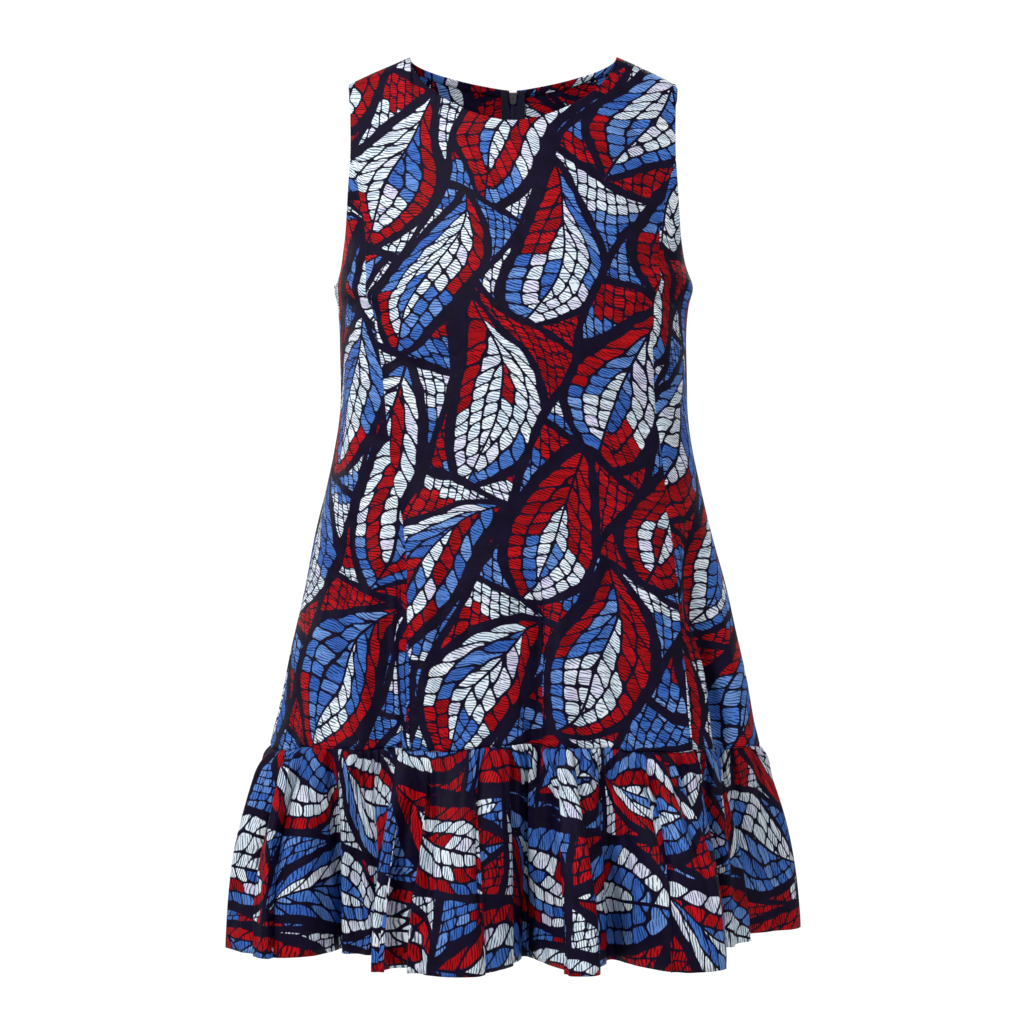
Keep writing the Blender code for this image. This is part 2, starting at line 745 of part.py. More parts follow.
def circle(radius, centre=(0.0, 0.0)):
    return [
        Vector(centre) + Matrix.Rotation(2 * math.pi * i / ROUND_POINTS, 2) @ Vector((radius, 0.0))
        for i in range(ROUND_POINTS)
    ]


def prism(name, outline, low, high, place, material):
    """The outline, anticlockwise, carried from low to high along the third axis of a place."""
    shape = bmesh.new()
    ends = [[shape.verts.new(place @ Vector((*p, level))) for p in outline] for level in (low, high)]
    shape.faces.new(ends[0][::-1])
    shape.faces.new(ends[1])
    for i in range(len(outline)):
        after = (i + 1) % len(outline)
        shape.faces.new((ends[0][i], ends[0][after], ends[1][after], ends[1][i]))
    return link(name, shape, material)


def combine(obj, other, operation):
    """Applies a Boolean with another object, which it uses up."""
    step = obj.modifiers.new("Step", "BOOLEAN")
    step.operation = operation
    step.solver = "EXACT"
    step.object = other
    graph = bpy.context.evaluated_depsgraph_get()
    mesh = bpy.data.meshes.new_from_object(obj.evaluated_get(graph))
    obj.modifiers.clear()
    obj.data = mesh
    bpy.data.objects.remove(other, do_unlink=True)


def zip_place(line, down, out):
    """A frame on the zip: its first axis to the wearer's right, then up the cloth, then outward."""
    up = (line.at(down - NORMAL_REACH, 0.0, 0.0) - line.at(down + NORMAL_REACH, 0.0, 0.0)).normalized()
    outward = line.normal(down)
    outward = (outward - up * outward.dot(up)).normalized()
    across = up.cross(outward)
    centre = line.at(down, 0.0, 0.0) + outward * out
    return Matrix.Translation(centre) @ Matrix((across, up, outward)).transposed().to_4x4()


def on_side(place):
    """The same frame, turned so that its third axis runs along the pivot and its first outward."""
    return place @ Matrix(((0, 0, -1, 0), (0, 1, 0, 0), (1, 0, 0, 0), (0, 0, 0, 1)))


def add_slider(line, material):
    """The slider inside the cloth, and its bridge through the notch to the pull tab's pivot."""
    face = -(CLOTH_WALL / 2 + PART_GAP)
    place = zip_place(line, SLIDER_DOWN, 0.0)
    high = SLIDER_HEIGHT / 2
    outline = rounded(
        [(-SLIDER_FOOT_HALF, -high), (SLIDER_FOOT_HALF, -high), (SLIDER_HALF, high), (-SLIDER_HALF, high)],
        SLIDER_CORNER,
    )
    slider = prism("zip_slider", outline, face - SLIDER_WALL, face, place, material)
    side = on_side(place)
    root = face - SLIDER_WALL / 2
    web = [(root, -BRIDGE_ROUND), (PIVOT_OUT, -BRIDGE_ROUND)]
    web += [(PIVOT_OUT + BRIDGE_ROUND * math.cos(a), BRIDGE_ROUND * math.sin(a)) for a in half_turn()]
    web += [(PIVOT_OUT, BRIDGE_ROUND), (root, BRIDGE_ROUND)]
    bridge = prism("Bridge", web, -BRIDGE_HALF, BRIDGE_HALF, side, material)
    combine(slider, bridge, "UNION")
    hole = circle(PIVOT_HOLE, (PIVOT_OUT, 0.0))
    combine(slider, prism("Hole", hole, -SLIDER_HALF, SLIDER_HALF, side, material), "DIFFERENCE")


def half_turn():
    """Angles between the ends of a half circle."""
    steps = ROUND_POINTS // 2
    return [math.pi * (i / steps - 0.5) for i in range(1, steps)]


def add_pull_tab(line, material):
    """The pull tab, about its pivot. Its origin lies on the pivot's axis."""
    pivot = zip_place(line, SLIDER_DOWN, PIVOT_OUT)
    place = pivot.to_3x3().to_4x4() @ Matrix.Rotation(math.radians(TAB_LEAN), 4, "X")
    high = TAB_WINDOW_HALF
    outline = rounded(
        [(-TAB_FOOT_HALF, -TAB_LENGTH), (TAB_FOOT_HALF, -TAB_LENGTH), (TAB_HALF, high), (-TAB_HALF, high)],
        TAB_CORNER,
    )
    half = TAB_WALL / 2
    tab = prism("zip_pull_tab", outline, -half, half, place, material)
    inside = TAB_WINDOW_HALF
    window = rounded(
        [(-inside, -TAB_WINDOW), (inside, -TAB_WINDOW), (inside, 2 * high), (-inside, 2 * high)],
        inside / 2,
    )
    combine(tab, prism("Window", window, -TAB_WALL, TAB_WALL, place, material), "DIFFERENCE")
    bar = prism("Bar", circle(PIVOT_BAR), -TAB_HALF + half, TAB_HALF - half, on_side(place), material)
    combine(tab, bar, "UNION")
    tab.location = pivot.translation


# What each piece is made of: colour in sRGB, roughness and metallic value.
Finish = namedtuple("Finish", "name colour roughness metallic")
COTTON = Finish("Wax print cotton", "#5a4a7a", 0.70, 0.0)
TAPE = Finish("Polyester zip tape", "#14132a", 0.85, 0.0)
COIL = Finish("Nylon zip coil", "#17162e", 0.45, 0.0)
METAL = Finish("Nickel-plated zinc", "#8d8f95", 0.35, 1.0)


def finished(finish):
    material = bpy.data.materials.new(finish.name)
    material.use_nodes = True
    shader = material.node_tree.nodes["Principled BSDF"]
    parts = [int(finish.colour[i : i + 2], 16) / 255 for i in (1, 3, 5)]
    linear = [c / 12.92 if c <= 0.04045 else ((c + 0.055) / 1.055) ** 2.4 for c in parts]
    shader.inputs["Base Color"].default_value = (*linear, 1.0)
    shader.inputs["Roughness"].default_value = finish.roughness
    shader.inputs["Metallic"].default_value = finish.metallic
    material.diffuse_color = (*linear, 1.0)
    return material


def main():
    clear_scene()
    cotton = finished(COTTON)
    tape = finished(TAPE)
    metal = finished(METAL)
    rows = body_rows()
    names, grids = body_panels(rows)
    left = zip_line(grids, names, 1)
    right = zip_line(grids, names, -1)
    add_body(names, [[[point.copy() for point in points] for points in grid] for grid in grids], cotton)
    add_flounce(rows, cotton)
    add_tape("zip_tape_left", left, 1, tape)
    add_tape("zip_tape_right", right, -1, tape)
    add_coil(left, right, finished(COIL))
    add_slider(left, metal)
    add_pull_tab(left, metal)


if __name__ == "__main__":
    main()
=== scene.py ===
# %% [markdown]
# # A sleeveless wax print dress
# A cotton shift dress is a set of flat panels sewn into a tube, with a gathered strip, the flounce,
# sewn on below. Filled out by its wearer it hangs from two shoulder seams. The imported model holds
# every panel as a plain solid, so this lesson loads it first and dresses each panel in finer cloth.

# %% Load the frame
import json
import math
from collections import namedtuple
from functools import partial

import bmesh
import bpy
import numpy as np
from mathutils import Matrix, Vector

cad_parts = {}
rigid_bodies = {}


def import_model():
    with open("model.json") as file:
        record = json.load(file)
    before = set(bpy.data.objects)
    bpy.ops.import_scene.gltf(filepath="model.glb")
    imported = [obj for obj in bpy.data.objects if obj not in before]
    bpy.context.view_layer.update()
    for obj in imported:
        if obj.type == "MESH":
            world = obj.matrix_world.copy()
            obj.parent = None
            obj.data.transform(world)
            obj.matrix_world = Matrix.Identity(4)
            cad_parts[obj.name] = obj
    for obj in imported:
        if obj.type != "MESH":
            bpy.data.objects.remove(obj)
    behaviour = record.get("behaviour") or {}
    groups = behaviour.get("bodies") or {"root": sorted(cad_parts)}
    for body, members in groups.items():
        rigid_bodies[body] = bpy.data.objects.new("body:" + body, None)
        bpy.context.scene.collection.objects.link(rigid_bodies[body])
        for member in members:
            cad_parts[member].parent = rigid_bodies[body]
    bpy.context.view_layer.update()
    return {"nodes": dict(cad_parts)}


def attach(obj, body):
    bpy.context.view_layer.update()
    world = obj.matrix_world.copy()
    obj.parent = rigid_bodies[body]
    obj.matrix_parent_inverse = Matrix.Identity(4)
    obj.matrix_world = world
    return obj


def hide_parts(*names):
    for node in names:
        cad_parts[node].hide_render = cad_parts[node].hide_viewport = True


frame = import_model()

# %% [markdown]
# ## The dress's sizes
# A pattern cutter works from a short list of sizes, and so does this script. They are in metres, and
# they are the same ones that shape the plain solids, so the fine cloth lies exactly where they do.
# Tables of folds are in millimetres, which are easier to read, and turn to metres as they are read.
# A table's rows are read as a smooth curve, because cloth doesn't bend at a table's row.


# %% Sizes
def table(columns, *rows, scale=1.0):
    """Rows of numbers with their columns named, each number times the scale."""
    named = namedtuple("Row", columns)
    rows = [[part * scale if isinstance(part, (int, float)) else part for part in row] for row in rows]
    return [named(*row) for row in rows]


MM = 0.001
CLOTH = 0.00035  # cotton wax print is about a third of a millimetre thick
NECK_HALF = 0.100
NECK_DROP = {"front": 0.0735, "back": 0.0207}
NECK_ROUND = {"front": 1.65, "back": 1.42}
SHOULDER_HALF = 0.157
SHOULDER_DROP = 0.026
SHOULDER_ROUND = {"front": 1.53, "back": 1.75}
YOKE_Z = -0.262
SEAM_Z = {"front": -0.651, "side": -0.661, "back": -0.664}
HEM_Z = -0.846
SECTION_POWER = 2.3
ARMHOLE_DEPTH = {"front": 0.073, "back": 0.070}
ARMHOLE_HOLD = 3.0
ARMHOLE_TURN = 0.7
ARMHOLE_FOOT = 0.839
RIDGE_ROUND = 2.0
RIDGE_SHARE = 0.12
PRINCESS_TOP = 0.335
PRINCESS_SWEEP = 0.4
ARMHOLE = table(
    "share front back",
    (0.000, 0.1570, 0.1570), (0.143, 0.1550, 0.1575), (0.294, 0.1540, 0.1585), (0.461, 0.1560, 0.1600),
    (0.620, 0.1584, 0.1615), (0.696, 0.1610, 0.1635), (0.763, 0.1642, 0.1660), (0.805, 0.1680, 0.1690),
    (0.839, 0.1718, 0.1718), (0.890, 0.1684, 0.1684), (1.000, 0.1667, 0.1667),
)
SECTIONS = table(
    "z half_width front back princess turn",
    (-262, 166.7, 121.0, 104.5, 136, 0),
    (-330, 166.0, 119.0, 103.0, 131, 8),
    (-400, 175.7, 118.5, 103.5, 132, 15),
    (-465, 191.5, 122.0, 108.0, 128, 26),
    (-543, 209.5, 129.0, 117.0, 129, 32),
    (-600, 222.0, 133.5, 125.0, 131, 36),
    (-661, 236.0, 138.0, 134.0, 135, 41),
    scale=MM,
)
# Soft flutes: where each starts, its arc from the centre front there and at the flounce seam.
FLUTES = table(
    "top at_top at_seam half_width out",
    # Front, from the crest on the wearer's right round to the left side seam.
    (-360, -100, -82, 34, 7), (-360, -128, -122, 24, -11), (-360, -170, -185, 36, 4), (-460, 18, 19, 17, -10),
    (-460, 48, 50, 32, 6), (-400, 146, 172, 30, 8), (-440, 186, 216, 26, -22), (-440, 240, 276, 40, 3),
    # Back, from the left side seam to the centre, then from the centre to the right side seam.
    (-400, 300, 360, 36, -12), (-400, 345, 425, 44, 10), (-440, 420, 515, 36, -10), (-460, 480, 575, 36, 6),
    (-420, -405, -520, 34, -11), (-420, -350, -450, 44, 10), (-400, -290, -375, 36, -12),
    (-400, -235, -300, 40, -4.5),
    scale=MM,
)
# How many of a panel's columns end on each of its edges. The fine cloth keeps their proportions.
NECK_COLUMNS = 6
SHOULDER_COLUMNS = 3
ARMHOLE_COLUMNS = {"front": 3, "side": 9, "back": 8}
print("flutes in the body:", len(FLUTES))


# %% Read a table as a smooth curve
def through(rows, column, at):
    """A column of a table at any values of its first column, never past the rows' own values."""
    places = np.array([row[0] for row in rows])
    values = np.array([getattr(row, column) for row in rows])
    if places[0] > places[-1]:
        places, at = -places, -np.asarray(at, float)
    at = np.clip(at, places[0], places[-1])
    slopes = np.diff(values) / np.diff(places)
    same = slopes[:-1] * slopes[1:]
    both = np.where(same > 0, slopes[:-1] + slopes[1:], 1.0)
    tangents = np.concatenate([slopes[:1], np.where(same > 0, 2 * same / both, 0.0), slopes[-1:]])
    i = np.clip(np.searchsorted(places, at, side="right") - 1, 0, len(slopes) - 1)
    width = places[i + 1] - places[i]
    f = (at - places[i]) / width
    start = (1 + 2 * f) * (1 - f) ** 2 * values[i] + f * (1 - f) ** 2 * width * tangents[i]
    return start + f * f * (3 - 2 * f) * values[i + 1] - f * f * (1 - f) * width * tangents[i + 1]


def ease(f):
    """A smooth step from 0 to 1, as f goes from 0 to 1."""
    f = np.clip(f, 0.0, 1.0)
    return f * f * (3 - 2 * f)


def hump(away):
    """1 at the middle of a crease, easing to 0 at its edge, where away is 1."""
    return np.where(np.abs(away) < 1, np.cos(np.clip(away, -1, 1) * np.pi / 2) ** 2, 0.0)


print("half the width 0.3 m down:", round(float(through(SECTIONS, "half_width", -0.3)), 4), "m")

# %% [markdown]
# ## Rings
# Cloth that goes round a body is easiest to think of as a pile of rings. A place on a ring is an arc
# length from the centre front, because that is what a tape measure reads, and cloth doesn't stretch.


# %% A ring read by tape measure
def path_length(points):
    """Distances along a line of points, from its first."""
    return np.insert(np.cumsum(np.linalg.norm(np.diff(points, axis=0), axis=-1), axis=0), 0, 0.0, axis=0)


class Ring:
    """A closed line at one height, read by its arc from its first point towards the wearer's left."""

    def __init__(self, xy):
        self.closed = np.vstack([xy, xy[:1]])
        self.arcs = path_length(self.closed)
        self.length = self.arcs[-1]

    def at(self, arc):
        arc = np.mod(arc, self.length)
        return np.stack([np.interp(arc, self.arcs, part) for part in self.closed.T], axis=-1)

    def outward(self, arc):
        along = self.at(arc + 0.002) - self.at(arc - 0.002)
        out = np.stack([along[..., 1], -along[..., 0]], axis=-1)
        return out / np.linalg.norm(out, axis=-1, keepdims=True)

    def moved(self, out):
        arc = self.arcs[:-1]
        return Ring(self.closed[:-1] + self.outward(arc) * out(arc)[:, None])

    def quarter(self, turns):
        return self.arcs[round(turns * (len(self.arcs) - 1) / 4)]


def oval(half_width, front, back, power):
    angle = np.linspace(0, 2 * np.pi, 720, endpoint=False)
    x, y = (np.sign(part) * np.abs(part) ** (2 / power) for part in (np.sin(angle), np.cos(angle)))
    return Ring(np.stack([half_width * x, -np.where(y > 0, front, back) * y], axis=-1))


def wrapped(arc, length):
    return np.mod(arc + length / 2, length) - length / 2


print("round a circle 0.2 m wide:", round(oval(0.1, 0.1, 0.1, 2).length, 3), "m")


# %% Rings of the body
def body_ring(z):
    plain = oval(*(through(SECTIONS, name, z) for name in ("half_width", "front", "back")), SECTION_POWER)

    def out(arc):
        total = np.zeros_like(arc)
        for flute in FLUTES:
            share = (flute.top - z) / (flute.top - SEAM_Z["side"])
            if share > 0:
                at = flute.at_top + (flute.at_seam - flute.at_top) * share
                total += flute.out * ease(share) * hump(wrapped(arc - at, plain.length) / flute.half_width)
        return total

    return plain.moved(out)


def seams_of(ring, z):
    """Arcs of the vertical seams. The lower dress hangs turned towards the wearer's left."""
    turn, princess = (float(through(SECTIONS, name, z)) for name in ("turn", "princess"))
    return {
        "side_right": ring.quarter(3) - ring.length + turn,
        "princess_right": turn - princess,
        "princess_left": turn + princess,
        "side_left": ring.quarter(1) + turn,
        "centre_front": turn,
        "centre_back": ring.quarter(2) + turn,
    }


# The gathers pull the seam a little up and down: how far, how many times all round, and from where.
PULLS = ((0.0015, 6, 0.6), (0.0012, 13, 2.0), (0.0007, 29, 0.0))


def lower_point(ring, arc, up):
    """A point between the flounce seam, where up is 0, and the yoke, where it is 1."""
    share = np.abs(wrapped(arc, ring.length)) / ring.quarter(1)
    front = SEAM_Z["front"] + (SEAM_Z["side"] - SEAM_Z["front"]) * ease(share)
    back = SEAM_Z["side"] + (SEAM_Z["back"] - SEAM_Z["side"]) * ease(share - 1)
    turn = 2 * np.pi * arc / ring.length
    pulled = sum(high * np.sin(times * turn + start) for high, times, start in PULLS)
    bottom = np.where(share < 1, front, back) + pulled
    return np.concatenate([ring.at(arc), (bottom + (YOKE_Z - bottom) * up)[..., None]], axis=-1)


BODY_ROWS = 150
body_rows = []
for up in np.arange(BODY_ROWS + 1) / BODY_ROWS:
    height = SEAM_Z["side"] + (YOKE_Z - SEAM_Z["side"]) * up
    ring = body_ring(height)
    body_rows.append((ring, seams_of(ring, height), up))
print("flounce seam, all round:", round(body_rows[0][0].length, 3), "m")


# %% [markdown]
# ## Above the yoke
# Above the fullest part of the bust a ring would be cut open by the armholes. There a point is given
# by its angle round the body and its share of the way down from the shoulder line. Columns of cloth
# then end where the neck, shoulder seam and armhole are, so no edge has to be cut.


# %% The shoulders' round
def ridge(x):
    return SHOULDER_DROP * (NECK_HALF - np.abs(x)) / (SHOULDER_HALF - NECK_HALF)


def upper_point(turned, share, face):
    power = SHOULDER_ROUND[face] + (RIDGE_ROUND - SHOULDER_ROUND[face]) * (1 - ease(share / RIDGE_SHARE))
    full = (1 - (1 - share) ** power) ** (1 / power)
    to_foot = np.minimum(share / ARMHOLE_FOOT, 1.0)
    edge = ARMHOLE_DEPTH[face] * full * (1 - to_foot**ARMHOLE_HOLD) ** ARMHOLE_TURN
    closing = 1 - (1 - 1 / SECTION_POWER) * ease((to_foot - 0.5) / 0.5)
    middle = getattr(SECTIONS[0], face) * full
    depth = edge + (middle - edge) * np.maximum(np.cos(turned), 0.0) ** (2 * closing)
    x = through(ARMHOLE, face, share) * np.maximum(np.sin(turned), 0.0) ** (2 / SECTION_POWER)
    return np.stack([x, depth if face == "back" else -depth, ridge(x) - share * (ridge(x) - YOKE_Z)], axis=-1)


def turned_at(x, share, face):
    return np.arcsin(np.minimum(x / through(ARMHOLE, face, share), 1.0) ** (SECTION_POWER / 2))


def turned_on_ring(point, face):
    widest = np.array([SECTIONS[0].half_width, getattr(SECTIONS[0], face)])
    return np.arctan2(*((np.abs(point[..., :2]) / widest) ** (SECTION_POWER / 2)).T)


def neck_share(x, face):
    power = NECK_ROUND[face]
    z = -NECK_DROP[face] * (1 - np.minimum(x / NECK_HALF, 1.0) ** power) ** (1 / power)
    return (ridge(x) - z) / (ridge(x) - YOKE_Z)


FINE = 24  # steps to each of the plain panels' columns, in the guides below


def armhole_tops(start, end, columns, sweep, last_sweep):
    """Angle, share and sweep of the columns that end on an armhole."""
    f = np.linspace(0, 1, columns * FINE + 1)
    return [np.full(len(f), np.pi / 2), start + (end - start) * f, sweep + (last_sweep - sweep) * f]


def neck_tops(face, armhole):
    """The same from the centre outwards, along the neck and the shoulder to the armhole."""
    x = NECK_HALF * np.sin(np.pi / 2 * np.linspace(0, 1, NECK_COLUMNS * FINE + 1))
    share = neck_share(x, face)
    sewn = np.linspace(NECK_HALF, SHOULDER_HALF, SHOULDER_COLUMNS * FINE + 1)[1:]
    neck = [turned_at(x, share, face), share, np.ones(len(x))]
    shoulder = [turned_at(sewn, 0.0, face), np.zeros(len(sewn)), np.ones(len(sewn))]
    return [np.concatenate([a, b, c[1:]]) for a, b, c in zip(neck, shoulder, armhole)]


front_armhole = armhole_tops(0.0, PRINCESS_TOP, ARMHOLE_COLUMNS["front"], 1.0, PRINCESS_SWEEP)
front_tops = neck_tops("front", front_armhole)
side_tops = armhole_tops(PRINCESS_TOP, ARMHOLE_FOOT, ARMHOLE_COLUMNS["side"], PRINCESS_SWEEP, 1.0)
back_tops = neck_tops("back", armhole_tops(0.0, ARMHOLE_FOOT, ARMHOLE_COLUMNS["back"], 1.0, 1.0))
print("guide columns:", len(front_tops[0]), len(side_tops[0]), len(back_tops[0]))

# %% [markdown]
# ## A panel as a grid
# One panel is a grid of points: columns from foot to top, side by side from seam to seam. Extra
# columns crowd the seams, where the cloth turns under. Smoothing each column a little takes out any
# kink where the two ways of placing points meet. With each point goes its place on the flat cloth,
# across from the panel's grain line, because the print was on the cloth before it was cut.


# %% Panels of the body
UPPER_ROWS = 76
STEP = 0.0027
SMOOTHINGS = 40
SEAM_STEPS = np.array([0.0, 0.0006, 0.0012, 0.0020, 0.0032, 0.0048])


def steps_across(width, corners):
    """Places from 0 to 1 across a width, closer at its edges, with one on each corner."""
    near = SEAM_STEPS / width
    inner = np.linspace(near[-1], 1 - near[-1], round(width * (1 - 2 * near[-1]) / STEP))
    places = np.concatenate([near[:-1], inner, 1 - near[:-1][::-1]])
    for corner in corners:
        places[np.argmin(np.abs(places - corner))] = corner
    return places


def averaged(points, passes):
    """Points averaged with those before and after, with the first and last left where they are."""
    points = points.copy()
    for _ in range(passes):
        points[1:-1] = points[1:-1] / 2 + (points[:-2] + points[2:]) / 4
    return points


def section_arc(turned, share, face):
    """How far round the body a point lies from the centre, by tape measure."""
    angles = np.linspace(0, 1, 60)[:, None] * turned
    return path_length(upper_point(angles, share, face)[..., :2])[-1]


def panel_points(panel):
    """Columns by rows by x, y, z and the place across the flat cloth."""
    c = steps_across(panel.width, panel.corners)
    guide = np.linspace(0, 1, len(panel.tops[0]))
    turned_top, share_top, swept = (np.interp(c, guide, part) for part in panel.tops)
    side = np.where(np.interp(c, (0, 1), panel.sides) < 0, -1.0, 1.0)
    points = []
    for ring, seams, up in body_rows:
        first, last = seams[panel.start], seams[panel.end]
        last += ring.length if last < first else 0.0
        arc = first + (last - first) * c
        across = wrapped(arc - seams["centre_" + panel.face], ring.length)
        points.append(np.column_stack([lower_point(ring, arc, up), across]))
    foot = turned_on_ring(points[-1], panel.face)
    crowding = 1.4 + 1.2 * np.maximum(1 - share_top / 0.25, 0.0)
    for number in range(1, UPPER_ROWS + 1):
        left = (1 - number / UPPER_ROWS) ** crowding
        turned = turned_top + (foot - turned_top) * left**swept
        share = share_top + (1 - share_top) * left
        point = upper_point(turned, share, panel.face)
        point[:, 0] *= side
        across = section_arc(turned, share, panel.face) * side * (-1 if panel.face == "back" else 1)
        points.append(np.column_stack([point, across]))
    return averaged(np.stack(points), SMOOTHINGS).swapaxes(0, 1)


print("columns across 0.28 m:", len(steps_across(0.28, ())))

# %% Table of panels
# Where the neck and the shoulder seam end, as shares of the columns from the centre outwards.
ends = np.array([NECK_COLUMNS, NECK_COLUMNS + SHOULDER_COLUMNS])
front_corners, back_corners = (ends / (ends[1] + ARMHOLE_COLUMNS[face]) for face in ("front", "back"))
front_corners = np.concatenate([0.5 - front_corners / 2, 0.5 + front_corners / 2])
whole_front = [np.concatenate([part[:0:-1], part]) for part in front_tops]
right_side, left_back = ([part[::-1] for part in tops] for tops in (side_tops, back_tops))
# Cut is where each panel was cut from the printed cloth, so that the print breaks at the seams.
PANELS = table(
    "name face width cut start end sides tops corners",
    ("side_front_right", "front", 0.12, (0.31, 0.22), "side_right", "princess_right",
     (-1, -1), right_side, ()),
    ("front_centre", "front", 0.28, (1.02, 0.05), "princess_right", "princess_left",
     (-1, 1), whole_front, front_corners),
    ("side_front_left", "front", 0.12, (1.77, 0.41), "princess_left", "side_left",
     (1, 1), side_tops, ()),
    ("back_left", "back", 0.28, (2.60, 0.13), "side_left", "centre_back",
     (1, 1), left_back, 1 - back_corners),
    ("back_right", "back", 0.28, (3.36, 0.30), "centre_back", "side_right",
     (-1, -1), back_tops, back_corners),
)
shapes = {panel.name: panel_points(panel) for panel in PANELS}
print({name: points.shape[:2] for name, points in shapes.items()})


# %% [markdown]
# ## Which way is out
# Every crease and fold moves cloth out or in, so each point needs its outward direction. Panels that
# are sewn together share it along their seam. Otherwise a fold would open a crack there.


# %% Outward directions
def unit(vectors):
    return vectors / np.maximum(np.linalg.norm(vectors, axis=-1, keepdims=True), 1e-9)


def outward_of(shapes):
    """Each shape's outward directions, the same on both sides of a seam."""
    outs = {}
    for name, points in shapes.items():
        across, up = (unit(np.gradient(points[..., :3], axis=axis)) for axis in (0, 1))
        outs[name] = unit(np.cross(across, up))
    names = list(shapes)
    for name, after in zip(names, names[1:] + names[:1]):
        outs[name][-1] = outs[after][0] = unit(outs[name][-1] + outs[after][0])
    return outs


outs = outward_of(shapes)
for name, out in outs.items():
    out[:, -1] = out[:, -2]
    top = np.abs(shapes[name][:, -1])
    out[(top[:, 1] < 0.0005) & (top[:, 0] < SHOULDER_HALF + 0.001), -1, 1] = 0.0
    out[:, -1] = unit(out[:, -1])
print("outward at the centre front:", np.round(outs["front_centre"][60, 40], 2))

# %% [markdown]
# ## Creases
# A worn cotton dress creases where it is pulled: from the underarm to the bust, across the shoulder
# blades, and down from the waist where it stands off the body. Each is placed as a line with a
# width and a depth, some long and some short. A trough has a negative depth.

# %% Table of creases
CREASE_LINE = "x0 z0 x1 z1 "
CREASES = {
    "front": table(
        CREASE_LINE + "half_width depth",
        # From the underarm to the bust: two drag lines with a roll between, right and left.
        (-158, -205, -96, -232, 11, -2.2), (-162, -236, -104, -262, 13, -2.6),
        (-160, -221, -90, -250, 10, 1.6),
        (157, -196, 104, -226, 10, -2.0), (163, -228, 98, -268, 14, -2.8),
        (161, -213, 96, -246, 9, 1.5),
        # Beside the armholes, and below the neck.
        (-140, -92, -119, -170, 12, -1.6), (142, -86, 121, -158, 11, -1.8), (-52, -83, 34, -96, 12, -1.0),
        # Under the bust, at the waist and at the hips.
        (-118, -292, -52, -318, 17, -2.2), (-40, -306, 48, -296, 20, -1.6), (62, -312, 134, -284, 15, -2.0),
        (-160, -352, -104, -376, 12, -2.0), (160, -338, 116, -366, 11, -1.8),
        (-170, -418, -120, -470, 13, -2.2), (174, -402, 128, -452, 14, -2.4),
        # Long troughs and rolls down the skirt, from the wearer's right to the left.
        (-147, -430, -158, -640, 14, -5.4), (-126, -470, -134, -648, 11, 3.2),
        (-98, -398, -104, -650, 10, -4.6), (-66, -452, -74, -650, 16, 4.1),
        (-34, -502, -40, -648, 12, -4.1), (12, -480, 14, -648, 12, -3.6),
        (46, -508, 54, -650, 13, 4.1), (94, -446, 106, -648, 14, -4.3),
        (132, -420, 150, -650, 14, 4.1), (166, -430, 196, -652, 13, -5.7),
        scale=MM,
    ),
    "back": table(
        CREASE_LINE + "half_width depth",
        # Shoulder blades and underarms.
        (-150, -118, -88, -146, 14, -2.0), (149, -128, 94, -150, 12, -2.2),
        (-162, -214, -92, -240, 13, -2.4), (163, -222, 104, -240, 12, -2.2),
        # The waist, high and low, right and left.
        (-140, -306, -30, -326, 15, -2.6), (-128, -342, -40, -352, 12, -2.0),
        (34, -316, 138, -300, 14, -2.8), (46, -350, 126, -340, 11, -1.8),
        # Long troughs and rolls down the skirt.
        (-160, -410, -186, -655, 16, -5.4), (-92, -430, -108, -655, 15, -5.9),
        (-54, -455, -60, -655, 17, 4.6), (30, -470, 34, -655, 13, -4.9),
        (72, -440, 84, -655, 16, 4.6), (110, -424, 128, -655, 14, -5.7),
        (158, -400, 188, -655, 15, -4.9),
        scale=MM,
    ),
}
# Laps: folds where the cloth on one side stands in front of the other. The cloth behind is on the
# wearer's right where the depth is positive, and on the left where it is negative.
LAPS = {
    "front": table(
        CREASE_LINE + "depth",
        (26.2, -452, 27.5, -646, 8.5),  # near the centre
        (-97.5, -420, -96, -646, 3.6),  # beside the right princess seam
        (145, -440, 164, -652, -4.5),  # beside the left one
        scale=MM,
    ),
    "back": table(
        CREASE_LINE + "depth",
        (-44, -470, -50, -660, 7.5),  # near the centre, on the wearer's right
        (90, -500, 98, -660, -6.0),  # further out, on the left
        scale=MM,
    ),
}
print("creases:", {face: len(rows) for face, rows in CREASES.items()})


# %% How far creases and laps move the cloth
LAP_EDGE = 0.0015  # how wide the wall between the front and the back of a lap looks
LAP_REACH = 0.045


def on_face(out, face):
    """1 where the cloth faces that way, easing to 0 before the side."""
    return ease(2.5 * (out[..., 1] if face == "back" else -out[..., 1]))


def crease_height(points, out):
    """How far the creases move each point out. They fade at their ends and on the other face."""
    x, z = points[..., 0], points[..., 2]
    total = np.zeros_like(x)
    for face, creases in CREASES.items():
        faces = on_face(out, face)
        for crease in creases:
            along = np.array([crease.x1 - crease.x0, crease.z1 - crease.z0])
            length = np.linalg.norm(along)
            along /= length
            far = (x - crease.x0) * along[0] + (z - crease.z0) * along[1]
            beside = (x - crease.x0) * -along[1] + (z - crease.z0) * along[0]
            beside += 0.05 * length * np.sin(np.pi * far / length)
            taper = ease(far / (0.35 * length) + 0.2) * ease((length - far) / (0.35 * length) + 0.2)
            total += crease.depth * hump(beside / crease.half_width) * taper * faces
    return total


def behind_edge(behind, depth, reach, strong):
    """How far cloth goes in behind an edge, and sideways under it. It comes back out in its reach."""
    strong = strong * (1 - ease((behind - depth) / reach))
    under = (depth - LAP_EDGE) * np.clip(behind / depth, 0, 1)
    return depth * ease(behind / depth) * strong, under * strong


